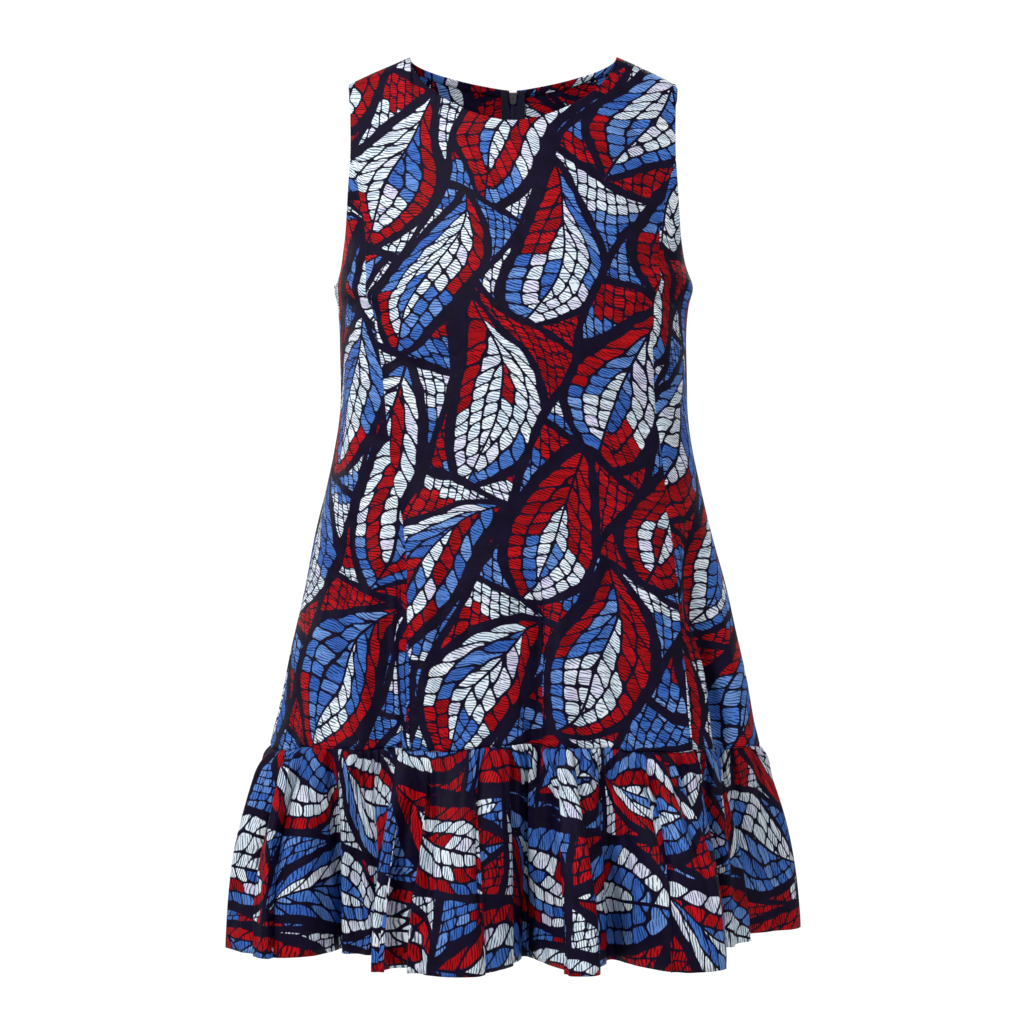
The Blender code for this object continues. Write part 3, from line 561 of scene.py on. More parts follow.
def lapped(points, out):
    """How far each point moves for the laps."""
    x, z = points[..., 0], points[..., 2]
    moved = np.zeros(points.shape[:-1] + (3,))
    for face, laps in LAPS.items():
        for lap in laps:
            share = (lap.z0 - z) / (lap.z0 - lap.z1)
            side = np.sign(lap.depth)
            behind = side * (lap.x0 + (lap.x1 - lap.x0) * share - x)
            strong = ease(share / 0.5) * on_face(out, face)
            inwards, under = behind_edge(behind, abs(lap.depth), LAP_REACH, strong)
            moved -= out * inwards[..., None]
            moved[..., 0] += side * under
    return moved


print("deepest lap:", max(abs(lap.depth) for laps in LAPS.values() for lap in laps), "m")

# %% Ripples, and the zip's hold
rng = np.random.default_rng(7)
RIPPLES = [
    (rng.normal(size=3) * (1.0, 1.0, 0.35) * 2 * np.pi / wave, rng.uniform(0, 6.28), high)
    for wave, high in [(0.17, 0.0006), (0.12, 0.0006), (0.09, 0.0005), (0.06, 0.0003)] * 3
]


def ripples(points):
    """The uneven ease of worn cloth, the same on both sides of a seam."""
    return sum(high * np.sin(points[..., :3] @ waves + phase) for waves, phase, high in RIPPLES)


ZIP_HOLD = 0.035
ZIP_END_Z = -0.52


def near_zip(points):
    """1 on the centre back, where the zip holds the cloth straight, and 0 away from it."""
    x, y, z = (points[..., k] for k in range(3))
    return (y > 0) * hump(x / ZIP_HOLD) * ease((z - ZIP_END_Z) / 0.02)


print("ripples:", len(RIPPLES))

# %% Press folds and ripples in
NOTCH_HALF = 0.0040
NOTCH_DEPTH = 0.0158
GATHERED = 0.035  # how far up from the flounce seam its gathers draw the cloth
PUCKER = 0.0010
FIRM = 0.03  # how far from a turned edge the cloth is still firm
FIRM_RIPPLES = 0.15
for name, points in shapes.items():
    out = outs[name]
    points[..., :3] += lapped(points, out)
    height = (crease_height(points, out) + ripples(points)) * (1 - near_zip(points))
    # A turned edge is firm, so the ripples are lower along the neck, shoulders and armholes.
    from_top = path_length(points.swapaxes(0, 1)[::-1, :, :3])[::-1].T
    height *= FIRM_RIPPLES + (1 - FIRM_RIPPLES) * ease(from_top / FIRM)
    x, y, z = (points[..., k] for k in range(3))
    drawn = hump((z - z[:, :1]) / GATHERED)
    height += PUCKER * drawn * np.sin(x * 330 + 3.0 * np.sin(x * 47 + y * 60))
    points[..., :3] += out * height[..., None]
    if name == "back_left":
        zip_line, zip_beside, zip_outward = points[-1].copy(), points[-9].copy(), out[-1].copy()
    # The backs part at the neck, where the slider's bridge comes through.
    if name.startswith("back"):
        open_by = NOTCH_HALF * np.clip(1 - from_top / NOTCH_DEPTH, 0, 1) * hump(x / 0.03)
        points[..., 0] += open_by if name == "back_left" else -open_by
    print(name, "relief, mm:", np.round([height.min() / MM, height.max() / MM], 1))

# %% [markdown]
# ## Seams and turned edges
# At a seam both panels turn sharply inwards, and their allowances lie flat inside. The neck and the
# armholes are turned under in the same way. Bending the grid's own edge gives the fine shadow line
# that a stitched seam has, and a soft double edge where the dress is open.


# %% Turn the edges of a sheet under
GROOVE_WIDTH = 0.0013


def edge_turned(points, out, groove, flap):
    """The first column's edge drawn in by a groove's depth, and a flap added under it."""
    joined = np.concatenate([points, out], axis=-1)
    downs = path_length(points[..., :3])
    far = np.array([0.0, 0.0010, 0.3 * flap, 0.65 * flap, flap])
    columns = [[np.interp(far, down, part) for part in joined[:, k].T] for k, down in enumerate(downs.T)]
    under = np.array(columns).transpose(2, 0, 1)
    joined[..., :3] -= out * (groove * np.exp(-((downs / GROOVE_WIDTH) ** 2)))[..., None]
    layer = np.array([0.0004 + groove, 0.0008 + groove / 2, 0.0009, 0.0009, 0.0009])
    under[..., :3] -= under[..., -3:] * layer[:, None, None]
    # On the flat cloth the flap runs on past the edge.
    under[..., 3:5] = points[0, :, 3:5] - unit(points[1, :, 3:5] - points[0, :, 3:5]) * far[:, None, None]
    whole = np.concatenate([under[::-1], joined])
    return whole[..., :-3], unit(whole[..., -3:])


def all_turned(points, out, edges):
    """Turns the edges named right, left, foot and top, each with its groove and flap."""
    for side, sizes in edges.items():
        step = -1 if side in ("left", "top") else 1
        across = side in ("foot", "top")
        parts = (part.swapaxes(0, 1) if across else part for part in (points, out))
        parts = edge_turned(*(part[::step] for part in parts), *sizes)
        points, out = (part[::step].swapaxes(0, 1) if across else part[::step] for part in parts)
    return points, out


def with_length(points):
    """Adds each point's place up the flat cloth, from the length and the slant of its column."""
    step = np.diff(points, axis=1)
    long = np.sum(step[..., :3] ** 2, axis=-1) - step[..., 3] ** 2
    up = np.insert(np.cumsum(np.sqrt(np.maximum(long, 1e-10)), axis=1), 0, 0.0, axis=1)
    return np.concatenate([points, up[..., None]], axis=-1)


SEAM_EDGES = {"right": (0.0008, 0.010), "left": (0.0008, 0.010)}
BODY_EDGES = {**SEAM_EDGES, "foot": (0.0006, 0.010), "top": (0.0002, 0.008)}
finished = {}
for panel in PANELS:
    points = with_length(shapes[panel.name])
    points[..., 3:5] += panel.cut
    finished[panel.name], _ = all_turned(points, outs[panel.name], BODY_EDGES)
print({name: points.shape[:2] for name, points in finished.items()})

# %% [markdown]
# ## Sew a sheet
# Blender's own grid gives the faces, already joined and facing one way. Each of its points is then
# put where the cloth lies, and its place on the flat cloth goes into a UV map in metres. Solidify
# gives the sheet the cotton's thickness.


# %% A sheet from a grid
def in_scene(name, data):
    """A new object of some mesh, lamp or camera, in the scene."""
    made = bpy.data.objects.new(name, data)
    bpy.context.collection.objects.link(made)
    return made


def sheet_object(name, points, thick):
    """points is columns by rows by x, y, z and the two places on the flat cloth."""
    last = np.array(points.shape[:2]) - 1
    shape = bmesh.new()
    bmesh.ops.create_grid(shape, x_segments=last[0], y_segments=last[1], size=1.0)
    mesh = bpy.data.meshes.new(name)
    shape.to_mesh(mesh)
    shape.free()
    flat = np.empty(len(mesh.vertices) * 3, np.float32)
    mesh.vertices.foreach_get("co", flat)
    column, row = np.rint((flat.reshape(-1, 3)[:, :2] + 1) / 2 * last).astype(int).T
    laid = points[column, row].astype(np.float32)
    mesh.vertices.foreach_set("co", laid[:, :3].ravel())
    corner = np.empty(len(mesh.loops), np.int32)
    mesh.loops.foreach_get("vertex_index", corner)
    mesh.uv_layers.new(name="cloth").data.foreach_set("uv", laid[corner, 3:5].ravel())
    mesh.shade_smooth()
    mesh.update()
    obj = in_scene(name, mesh)
    wall = obj.modifiers.new("Thickness", "SOLIDIFY")
    wall.thickness, wall.offset = thick, 0.0
    print(name, len(mesh.polygons), "faces before its thickness")
    return obj


cloth = {name: sheet_object("cloth_" + name, points, CLOTH) for name, points in finished.items()}

# %% [markdown]
# ## The flounce
# The flounce is a straight strip, about twice as long as the seam it is drawn up to. Fine gathers
# start at the seam and join into a few large folds, which flare to the hem. Each hem fold hangs from
# one place on the seam, and the cloth between shares out evenly.


# %% The hem's line
HEM_HALF_WIDTH = 0.255
HEM_DEPTH = 0.150
HEM_POWER = 2.2
FOLD_SHOULDER = 0.75
CURVE_STEPS = 24
# Where the middle of each fold is sewn on, and where it hangs, and the valley that follows it.
FOLDS = table(
    "name seam at half_width out valley",
    ("side right", -246, -260, 58, 27, -56),
    ("recessed right", -156, -160, 14, -36, -42),
    ("strip", -108, -113, 9, 44, 32),
    ("front right", -45, -52, 39, 52, -46),
    ("front centre", 52, 56, 18, 50, -26),
    ("front left", 140, 152, 36, 54, -56),
    ("side left recess", 222, 266, 26, -30, -46),
    ("side left", 305, 388, 30, 36, -30),
    ("back side left", 372, 448, 22, 26, -34),
    ("back left", 445, 526, 32, 34, -36),
    ("back centre", 532, 612, 26, 28, -32),
    ("back right", 612, 696, 34, 36, -36),
    ("back side right", 696, 782, 26, 28, -34),
    ("side seam right", 790, 880, 32, 32, -30),
    ("side behind right", 862, 952, 20, 14, -22),
    scale=MM,
)


def hem_ring():
    """The hem as a smooth closed line through the folds' crests and valleys, with each fold's arc."""
    plain = oval(HEM_HALF_WIDTH, HEM_DEPTH, HEM_DEPTH, HEM_POWER)
    marks = []
    for fold, after in zip(FOLDS, FOLDS[1:] + FOLDS[:1]):
        end = fold.at + fold.half_width
        next_start = after.at - after.half_width + (plain.length if after is FOLDS[0] else 0.0)
        marks.append((fold.at - fold.half_width, FOLD_SHOULDER * fold.out))
        marks.append((fold.at, fold.out))
        marks.append((end, FOLD_SHOULDER * fold.out))
        marks.append(((end + next_start) / 2, fold.valley))
    arc, out = np.array(marks).T
    knots = plain.at(arc) + plain.outward(arc) * out[:, None]
    before, after, far = (np.roll(knots, -k, axis=0)[:, None] for k in (-1, 1, 2))
    f = np.linspace(0, 1, CURVE_STEPS, endpoint=False)[None, :, None]
    curve = knots[:, None] * (1 - 2.5 * f**2 + 1.5 * f**3) + after * (0.5 * f + 2 * f**2 - 1.5 * f**3)
    curve += before * (-0.5 * f + f**2 - 0.5 * f**3) + far * (0.5 * f**3 - 0.5 * f**2)
    ring = Ring(curve.reshape(-1, 2))
    return ring, ring.arcs[(4 * np.arange(len(FOLDS)) + 1) * CURVE_STEPS]


hem, hung = hem_ring()
hung_at = {fold.name: arc for fold, arc in zip(FOLDS, hung)}
seam, seam_arcs, _ = body_rows[0]
all_hung = np.concatenate([hung + turn * hem.length for turn in (-1, 0, 1)])
all_sewn = np.concatenate([[fold.seam + turn * seam.length for fold in FOLDS] for turn in (-1, 0, 1)])
print(len(FOLDS), "folds, cut length:", round(hem.length, 2), "m on a seam of", round(seam.length, 2), "m")


# %% Fall of the flounce
FLOUNCE_STEP = 0.0022
FLOUNCE_SPRING = 0.80
FLOUNCE_SMOOTHINGS = 14
FALL = np.linspace(1, 0, 46) ** 1.35  # rows from the hem up to the seam, closer near the seam
noise_knots = rng.uniform(-1, 1, size=(3, 400))


def uneven(at, wave, kind):
    """Smooth noise between -1 and 1 along a line."""
    place = at / wave + 100
    i = np.floor(place).astype(int)
    return noise_knots[kind][i] + (noise_knots[kind][i + 1] - noise_knots[kind][i]) * ease(place - i)


def flounce_points(first, last):
    """Columns by rows, hem to seam, between two arcs of the seam, and their arcs on the hem."""
    start, end = np.interp([first, last], all_sewn, all_hung)
    on_hem = np.linspace(start, end, round((end - start) / FLOUNCE_STEP))
    arc = np.interp(on_hem, all_hung, all_sewn)
    top = lower_point(seam, arc, 0.0) - (0.0, 0.0, 0.0003)
    top += lapped(top, np.column_stack([seam.outward(arc), np.zeros(len(arc))]))
    foot = np.column_stack([hem.at(on_hem), np.full(len(arc), HEM_Z)])
    points = []
    for down in FALL:
        opened = down * (1 + FLOUNCE_SPRING * (1 - down))
        points.append(np.column_stack([top + (foot - top) * (opened, opened, down), on_hem]))
    return np.stack(points, axis=1), on_hem


print("rows from hem to seam:", len(FALL))

# %% Gathers
# Waves and heights of the fine gathers at the seam, of the wide ones below and of the uneven rest.
FINE_WAVE, FINE_HIGH = 0.021, 0.0034
WIDE_WAVE, WIDE_HIGH = 0.058, 0.0046
SOFT_WAVE, SOFT_HIGH = 0.045, 0.0018
SPRING_OUT = 0.0022


def gathers(on_hem):
    """How far the gathers stand out: fine at the seam, wider and lower on the way down."""
    at, down = on_hem[:, None], FALL[None, :]
    drift = at + 0.010 * down * uneven(at, 0.09, 0)
    fine = np.sin(2 * np.pi * (drift / FINE_WAVE + 0.45 * uneven(drift, 0.05, 1)))
    fine *= FINE_HIGH * (0.55 + 0.45 * uneven(drift, 0.033, 2)) * np.maximum(1 - down / 0.45, 0) ** 1.5
    turn = 2 * np.pi * (drift / WIDE_WAVE + 0.55 * uneven(drift, 0.11, 2))
    # Folds have broad crests and narrow valleys.
    wide = (np.sin(turn) + 0.35 * np.cos(2 * turn)) * WIDE_HIGH * (0.65 + 0.35 * uneven(drift, 0.08, 1))
    wide *= (1.0 - 0.55 * ease((down - 0.3) / 0.7)) * ease(down / 0.12 + 0.3)
    soft = SOFT_HIGH * uneven(at + 0.03 * down, SOFT_WAVE, 0) * ease(down / 0.5)
    # The seam presses the gathers flat, and the cloth springs out just below it.
    pressed = 0.35 + 0.65 * ease(down / 0.05)
    return (fine + wide) * pressed + soft + SPRING_OUT * hump((down - 0.09) / 0.12)


print("gathers over 0.3 m of hem:", round(float(np.ptp(gathers(np.linspace(0, 0.3, 200)))), 4), "m deep")

# %% Tucks and sharp sides of the folds
# Pressed folds: how far from a large fold's middle along the hem, half the width and how
# far in, or out where the number is positive.
TUCK_STRENGTH = 1.9
TUCKS = {
    "side right": ((-52, 14, -5.0), (-20, 17, 3.5), (18, 11, -7.0), (44, 13, 3.0)),
    "front right": ((-62, 11, -6.2), (-46, 10, 3.2), (-30, 10, -5.8), (4, 20, 2.6), (34, 12, -6.0)),
    "front centre": ((-22, 9, -5.5), (10, 14, 2.8)),
    "front left": ((-48, 12, 3.0), (-26, 11, -6.6), (6, 15, 2.6), (36, 13, -5.8)),
    "side left": ((-16, 12, -6.0), (18, 11, -4.2)),
    "back side left": ((6, 12, -5.6),),
    "back left": ((-24, 11, -6.0), (14, 13, -4.8)),
    "back centre": ((-6, 12, -6.0),),
    "back right": ((-20, 12, -5.2), (22, 11, -6.2)),
    "back side right": ((4, 13, -5.0),),
    "side seam right": ((-14, 11, -5.8),),
}
# Sharp sides: how far an edge is from the fold's middle, and how deep the cloth steps back there.
SIDES = {
    "side right": ((-30, 9.0), (50, 15.0)),
    "strip": ((-10, 12.8),),
    "front right": ((-38, 13.5), (36, 16.5)),
    "front centre": ((-20, 16.5), (18, 16.5)),
    "front left": ((-32, 16.5), (32, 16.5)),
    "side left": ((26, 12.8),),
    "back side left": ((-18, 12.0),),
    "back left": ((28, 15.0),),
    "back centre": ((-22, 14.2), (22, 12.8)),
    "back right": ((-30, 13.5), (30, 15.0)),
    "back side right": ((22, 12.8),),
    "side seam right": ((-26, 13.5),),
}
SIDE_REACH = 0.034


def places_on_folds(rows_by_fold):
    """Each row's place along the hem, its offset and its other numbers, in metres."""
    for name, rows in rows_by_fold.items():
        for offset, *sizes in rows:
            yield hung_at[name] + offset * MM, offset, *(size * MM for size in sizes)


def tucks(on_hem):
    """How far the pressed folds go out. They are deepest a quarter of the way down."""
    total = np.zeros((len(on_hem), len(FALL)))
    strong = ease(FALL / 0.25 + 0.15) * (1 - 0.45 * ease((FALL - 0.4) / 0.6))
    for at, _, half_width, out in places_on_folds(TUCKS):
        away = wrapped(on_hem - at, hem.length)[:, None] + 0.004 * np.sin(5 * FALL + at * 60)
        total += out * hump(away / (half_width * (0.8 + 0.4 * FALL))) * strong
    return total * TUCK_STRENGTH


def stepped(points, out, on_hem):
    """How far each point moves for the folds' sides: in behind the edge, and sideways under it."""
    along = unit(np.gradient(points[..., :3], axis=0))
    moved = np.zeros_like(along)
    for at, offset, depth in places_on_folds(SIDES):
        # An edge wanders a little on its way down. The cloth behind it is away from the fold.
        away = wrapped(on_hem - at, hem.length)[:, None] + 0.003 * np.sin(4 * FALL + at * 50)
        side = np.sign(offset)
        inwards, under = behind_edge(side * away, depth, SIDE_REACH, ease(FALL / 0.22))
        moved -= out * inwards[..., None] + along * (side * under)[..., None]
    return moved


print("tucks:", sum(map(len, TUCKS.values())), "sharp sides:", sum(map(len, SIDES.values())))

# %% The flounce's sheets
HATCH_TURN = math.radians(19.8)
FLOUNCE_EDGES = {**SEAM_EDGES, "foot": (0.0001, 0.009), "top": (0.0012, 0.010)}


def rotation(angle):
    """Turns pairs of coordinates, given as rows, by an angle."""
    cos, sin = math.cos(angle), math.sin(angle)
    return np.array([[cos, -sin], [sin, cos]])


ends = [seam_arcs["side_right"], seam_arcs["side_left"], seam_arcs["side_right"] + seam.length]
strips, hem_arcs = {}, {}
for number, name in enumerate(("flounce_front", "flounce_back")):
    strips[name], hem_arcs[name] = flounce_points(*ends[number : number + 2])
    strips[name][..., :3] = averaged(strips[name][..., :3], FLOUNCE_SMOOTHINGS)
outs_low = outward_of(strips)
for name, points in strips.items():
    out, on_hem = outs_low[name], hem_arcs[name]
    # At the side seams the folds of both strips ease to nothing.
    from_seam = np.minimum(on_hem - on_hem[0], on_hem[-1] - on_hem)
    height = (gathers(on_hem) + tucks(on_hem)) * ease(from_seam / 0.012)[:, None]
    moved = stepped(points, out, on_hem) * ease(from_seam / 0.03)[:, None, None]
    points[..., :3] += out * height[..., None] + moved
    # The strip is cut across the cloth, so the print lies on its side in it, with its hatching upright.
    up = np.broadcast_to((points[:1, :, 2] - HEM_Z) * 1.03, points.shape[:2])
    places = np.stack([up, -points[..., 3]], axis=-1) @ rotation(HATCH_TURN) + (0.4, 3.0)
    points, _ = all_turned(np.concatenate([points[..., :3], places], axis=-1), out, FLOUNCE_EDGES)
    cloth[name] = sheet_object("cloth_" + name, points, CLOTH)

# %% [markdown]
# ## Studio
# The dress hangs as worn, its hem 0.55 m above a pale floor. A white surround lights it softly, most
# from above, because folds need some shade in their valleys. A small bright box at one side draws
# their edges and a large soft one at the other fills them, and two more light the back alike. The
# camera is level, at the height of the waist, with a long lens, because a close wide lens would make
# the hem look larger than it is.


# %% Colours, nodes and materials
def linear(code):
    """An sRGB hex value as linear red, green and blue."""
    parts = [int(code[i : i + 2], 16) / 255 for i in (1, 3, 5)]
    return tuple(c / 12.92 if c <= 0.04045 else ((c + 0.055) / 1.055) ** 2.4 for c in parts) + (1.0,)


def node(tree, kind, *values, stops=(), **named):
    """Adds a node. A maths node's operation follows its kind, and a colour ramp has stops.

    Values go to the inputs in use in their order, or by name. Names in lower case are settings. A
    value may be a socket, or a node, which gives its first output in use.
    """
    kind, *operation = kind.split()
    made = tree.nodes.new(kind if kind.startswith("Node") else "ShaderNode" + kind)
    if operation:
        made.operation = operation[0]
    for name in [name for name in named if name.islower()]:
        setattr(made, name, named.pop(name))
    for number, (place, colour) in enumerate(stops):
        band = made.color_ramp.elements
        stop = band[number] if number < 2 else band.new(place)
        stop.position, stop.color = place, linear(colour)
    used = [socket for socket in made.inputs if socket.enabled]
    by_name = {socket.name.replace(" ", "_"): socket for socket in used}
    for socket, value in [*zip(used, values), *((by_name[name], value) for name, value in named.items())]:
        if isinstance(value, bpy.types.Node):
            value = next(output for output in value.outputs if output.enabled)
        if isinstance(value, bpy.types.NodeSocket):
            tree.links.new(value, socket)
        else:
            socket.default_value = value
    return made


def emptied(owner):
    """Clears the nodes of a material or world, and returns node() with its tree given."""
    owner.use_nodes = True
    owner.node_tree.nodes.clear()
    return partial(node, owner.node_tree)


print("middle grey in linear light:", round(linear("#808080")[0], 3))

# %% Camera
AWAY = 2.2
LENS = 80.16  # millimetres, on a sensor 36 mm wide
SENSOR = 36.0
scene = bpy.context.scene
scene.view_settings.view_transform = "Standard"
camera = in_scene("Camera", bpy.data.cameras.new("Camera"))
camera.data.lens, camera.data.sensor_width = LENS, SENSOR
camera.location = (-0.00097, -AWAY, -0.438)
camera.rotation_euler = (math.radians(90), 0.0, 0.0)
scene.camera = camera
print("view across the dress:", round(AWAY * SENSOR / LENS, 3), "m")

# %% Floor, surround and soft boxes
FLOOR_Z = -1.40
FLOOR_RADIUS = 1.9
WHITE = (1.0, 1.0, 1.0, 1.0)
shape = bmesh.new()
bmesh.ops.create_circle(shape, cap_ends=True, segments=128, radius=FLOOR_RADIUS)
bmesh.ops.translate(shape, verts=shape.verts, vec=(0.0, 0.0, FLOOR_Z))
floor = in_scene("Floor", bpy.data.meshes.new("Floor"))
shape.to_mesh(floor.data)
shape.free()

# Matt white studio floor, which fades into the white surround at its rim.
paint = bpy.data.materials.new("Matt white floor paint")
add = emptied(paint)
flat = add("VectorMath MULTIPLY", add("TexCoord").outputs["Object"], (1.0, 1.0, 0.0))
far = add("VectorMath LENGTH", flat)
rim = add("MapRange", far, 0.45 * FLOOR_RADIUS, 0.95 * FLOOR_RADIUS, interpolation_type="SMOOTHSTEP")
matt, glow = add("BsdfDiffuse", linear("#dededc")), add("Emission", WHITE)
add("OutputMaterial", add("MixShader", rim, matt, glow))
floor.data.materials.append(paint)

scene.world = bpy.data.worlds.new("White surround")
add = emptied(scene.world)
# The surround lights from above more than from below, and shows as plain white.
height = add("SeparateXYZ", add("TexCoord").outputs["Generated"]).outputs["Z"]
light = add("MapRange", height, From_Min=-1.0, To_Min=0.0, To_Max=0.54)
seen = add("LightPath").outputs["Is Camera Ray"]
strength = add("MapRange", seen, To_Min=light, To_Max=1.05)
add("OutputWorld", add("Background", WHITE, strength))

BOXES = table(
    "name place aim size watts",
    ("Key", (-1.05, -1.55, 0.80), (0.0, 0.0, -0.3), 0.6, 32.0),
    ("Fill", (2.1, -1.7, 0.4), (0.0, 0.0, -0.45), 1.6, 12.0),
    ("Back key", (1.05, 1.55, 0.80), (0.0, 0.0, -0.3), 0.6, 32.0),
    ("Back fill", (-2.1, 1.7, 0.4), (0.0, 0.0, -0.45), 1.6, 12.0),
)
for box in BOXES:
    lamp = in_scene(box.name, bpy.data.lights.new(box.name, "AREA"))
    lamp.data.shape, lamp.data.size, lamp.data.energy = "DISK", box.size, box.watts
    lamp.location = box.place
    lamp.rotation_euler = (Vector(box.aim) - Vector(box.place)).to_track_quat("-Z", "Y").to_euler()
print("soft boxes:", [box.name for box in BOXES])

# %% [markdown]
# ## The wax print
# Wax print is cotton dyed navy where wax was cracked or left off, then printed in a few colours. Its
# design here is a mosaic: leaves lie in staggered rows, with slanting rows of cells filling the gaps.
# Each leaf is cut into bands of small cells with navy between. Drawing it with nodes on the UV map in
# metres, and not as a picture, keeps each line sharp, and it bends with the cloth in every fold.


# %% Places in a staggered layout
def group(name, inputs, outputs):
    """A node group, the sockets that it is given, and node() with its tree given."""
    tree = bpy.data.node_groups.new(name, "ShaderNodeTree")
    for in_out, sockets in (("INPUT", inputs), ("OUTPUT", outputs)):
        for socket, kind in sockets.items():
            tree.interface.new_socket(socket, in_out=in_out, socket_type="NodeSocket" + kind)
    return tree, node(tree, "NodeGroupInput").outputs, partial(node, tree)


BORDER = 0.0026  # half the navy line between two places
given_leaf = {"Cloth": "Vector", "Turn": "Float", "Pitch": "Vector", "Size": "Vector"}
leaf, given, add = group("Mosaic leaf", given_leaf, {"Motif": "Vector", "Depth": "Float"})
turned = add("VectorRotate", given["Cloth"], Angle=given["Turn"], rotation_type="Z_AXIS")
scaled = add("VectorMath DIVIDE", turned, given["Pitch"])
column = add("Math FLOOR", add("SeparateXYZ", scaled))
drop = add("Math MULTIPLY", add("Math FLOORED_MODULO", column, 2.0), 0.5)
dropped = add("VectorMath ADD", scaled, add("CombineXYZ", Y=drop))
number = add("VectorMath FLOOR", dropped)
centred = add("VectorMath SUBTRACT", add("VectorMath FRACTION", dropped), (0.5, 0.5, 0.0))
local = add("VectorMath MULTIPLY", centred, given["Pitch"])
away = add("VectorMath ABSOLUTE", local)
half = add("VectorMath MULTIPLY_ADD", given["Pitch"], (0.5,) * 3, (-BORDER, -BORDER, 0.0))
border = add("SeparateXYZ", add("VectorMath SUBTRACT", half, away)).outputs
nearest = add("Math MINIMUM", border[0], border[1])
print("layout nodes:", len(leaf.nodes))

# %% A leaf in each place
MARGIN = 0.0064  # navy left round each motif
MIDRIB = 0.0012  # half of its navy line
FINER = 1.35  # how much smaller the cells are between the leaves
chance = add("TexWhiteNoise", number)
by_chance = chance.outputs["Color"]
moved = add("VectorMath MULTIPLY_ADD", by_chance, (0.010, 0.016, 0.0), (-0.005, -0.008, 0.0))
shifted = add("VectorMath ADD", local, moved)
lean = add("Math MULTIPLY_ADD", chance, 0.5, -0.25)
leaned = add("VectorRotate", shifted, Angle=lean, rotation_type="Z_AXIS")
x, y, _ = add("SeparateXYZ", leaned).outputs
half_width, half_length, _ = add("SeparateXYZ", given["Size"]).outputs
# The midrib bends, one way or the other.
bend = add("Math MULTIPLY_ADD", add("SeparateXYZ", by_chance), 9.0, -4.5)
curve = add("Math MULTIPLY", add("Math MULTIPLY", y, y), bend)
across = add("Math SUBTRACT", x, curve)
wide = add("Math ABSOLUTE", across)
# Half the leaf's width, from none at its tips to its most a little below the middle.
along = add("Math DIVIDE", y, half_length)
taper = add("Math SUBTRACT", 1.0, add("Math MULTIPLY", along, along))
fuller = add("Math MULTIPLY_ADD", along, -0.35, 1.0)
edge = add("Math MULTIPLY", add("Math MULTIPLY", taper, fuller), half_width)
straight = add("Math MULTIPLY", add("Math SUBTRACT", edge, wide), 0.86)
depth = add("Math MINIMUM", straight, nearest)
veins = add("Math MULTIPLY_ADD", wide, 0.6, y)
mark = add("Math MULTIPLY_ADD", add("Math GREATER_THAN", across, 0.0), 0.37, chance)
# The midrib itself is a navy line, so there is no depth on it.
depth = add("Math MULTIPLY", depth, add("Math GREATER_THAN", wide, MIDRIB))
leafy = add("CombineXYZ", depth, veins, mark)
# Past a margin of navy, slanting rows fill the place as far as its border. Their band numbers
# start far above a leaf's, so that the cells can tell them apart.
outside = add("Math MULTIPLY_ADD", straight, -1.0, -MARGIN)
outside = add("Math MINIMUM", outside, nearest)
rowed = add("CombineXYZ", add("Math MULTIPLY_ADD", y, 0.45, x), y, mark)
rowed = add("VectorMath MULTIPLY_ADD", rowed, (FINER, FINER, 1.0), (1.0, 0.0, 0.53))
in_leaf = add("Math GREATER_THAN", straight, -MARGIN / 2)
motif = add("Mix", in_leaf, rowed, leafy, data_type="VECTOR")
add("NodeGroupOutput", motif, add("Math MAXIMUM", depth, outside))
print("leaf nodes:", len(leaf.nodes))

# %% [markdown]
# ## Cells and colours
# Bands follow each leaf's outline at an even depth, and cross cuts divide them into cells with
# rounded corners. A band keeps to one colour for a few cells, as a printer's block would. Random
# numbers come from each cell's own place in its band, so that its colour stays the same all over it.

# %% Cells
BAND = 0.0122
CELL = 0.0136
LINE = 0.00094  # half the navy line between two cells
CORNER = 0.0030
DRAWN_BACK = 0.0004  # rounds the cells that an outline cuts, and drops slivers under 1.4 mm
SOFT = 0.0002  # half the width of a cell's blurred edge
started_at = LINE - DRAWN_BACK
given_cells = {"Cloth": "Vector", "Motif": "Vector", "Depth": "Float"}
gives = {"Inside": "Float", "Chance": "Float", "Tint": "Float"}
cells, given, add = group("Mosaic cells", given_cells, gives)
# Hand drawn lines wander by a millimetre or two.
hand = add("TexNoise", given["Cloth"], Scale=70.0, Detail=0.0, noise_dimensions="2D").outputs["Color"]
drawn = add("VectorMath MULTIPLY_ADD", hand, (0.0030, 0.0042, 0.0), (-0.0015, -0.0021, 0.0))
depth, up, mark = add("SeparateXYZ", add("VectorMath ADD", given["Motif"], drawn)).outputs
bands = add("Math DIVIDE", depth, BAND)
band = add("Math FLOOR", bands)
slip = add("TexWhiteNoise", add("CombineXYZ", X=band, Z=mark))
cuts = add("Math MULTIPLY_ADD", up, 1 / CELL, slip)
share = add("VectorMath FRACTION", add("CombineXYZ", bands, cuts))
away = add("VectorMath ABSOLUTE", add("VectorMath SUBTRACT", share, (0.5, 0.5, 0.0)))
reach = (started_at + CORNER - 0.5 * BAND, started_at + CORNER - 0.5 * CELL, 0.0)
past = add("VectorMath MULTIPLY_ADD", away, (BAND, CELL, 0.0), reach)
corner = add("VectorMath LENGTH", add("VectorMath MAXIMUM", past, (0.0, 0.0, 0.0)))
within = add("Math SUBTRACT", CORNER, corner)
edge = add("Math ADD", given["Depth"], add("SeparateXYZ", drawn))
started = add("Math SUBTRACT", edge, started_at)
# Both distances less the length of their pair is a distance to the nearer edge, round in corners.
length = add("VectorMath LENGTH", add("CombineXYZ", within, started))
rounded = add("Math SUBTRACT", add("Math ADD", within, started), length)
ends = (DRAWN_BACK - SOFT, DRAWN_BACK + SOFT)
inside = add("MapRange", rounded, *ends, interpolation_type="SMOOTHSTEP")
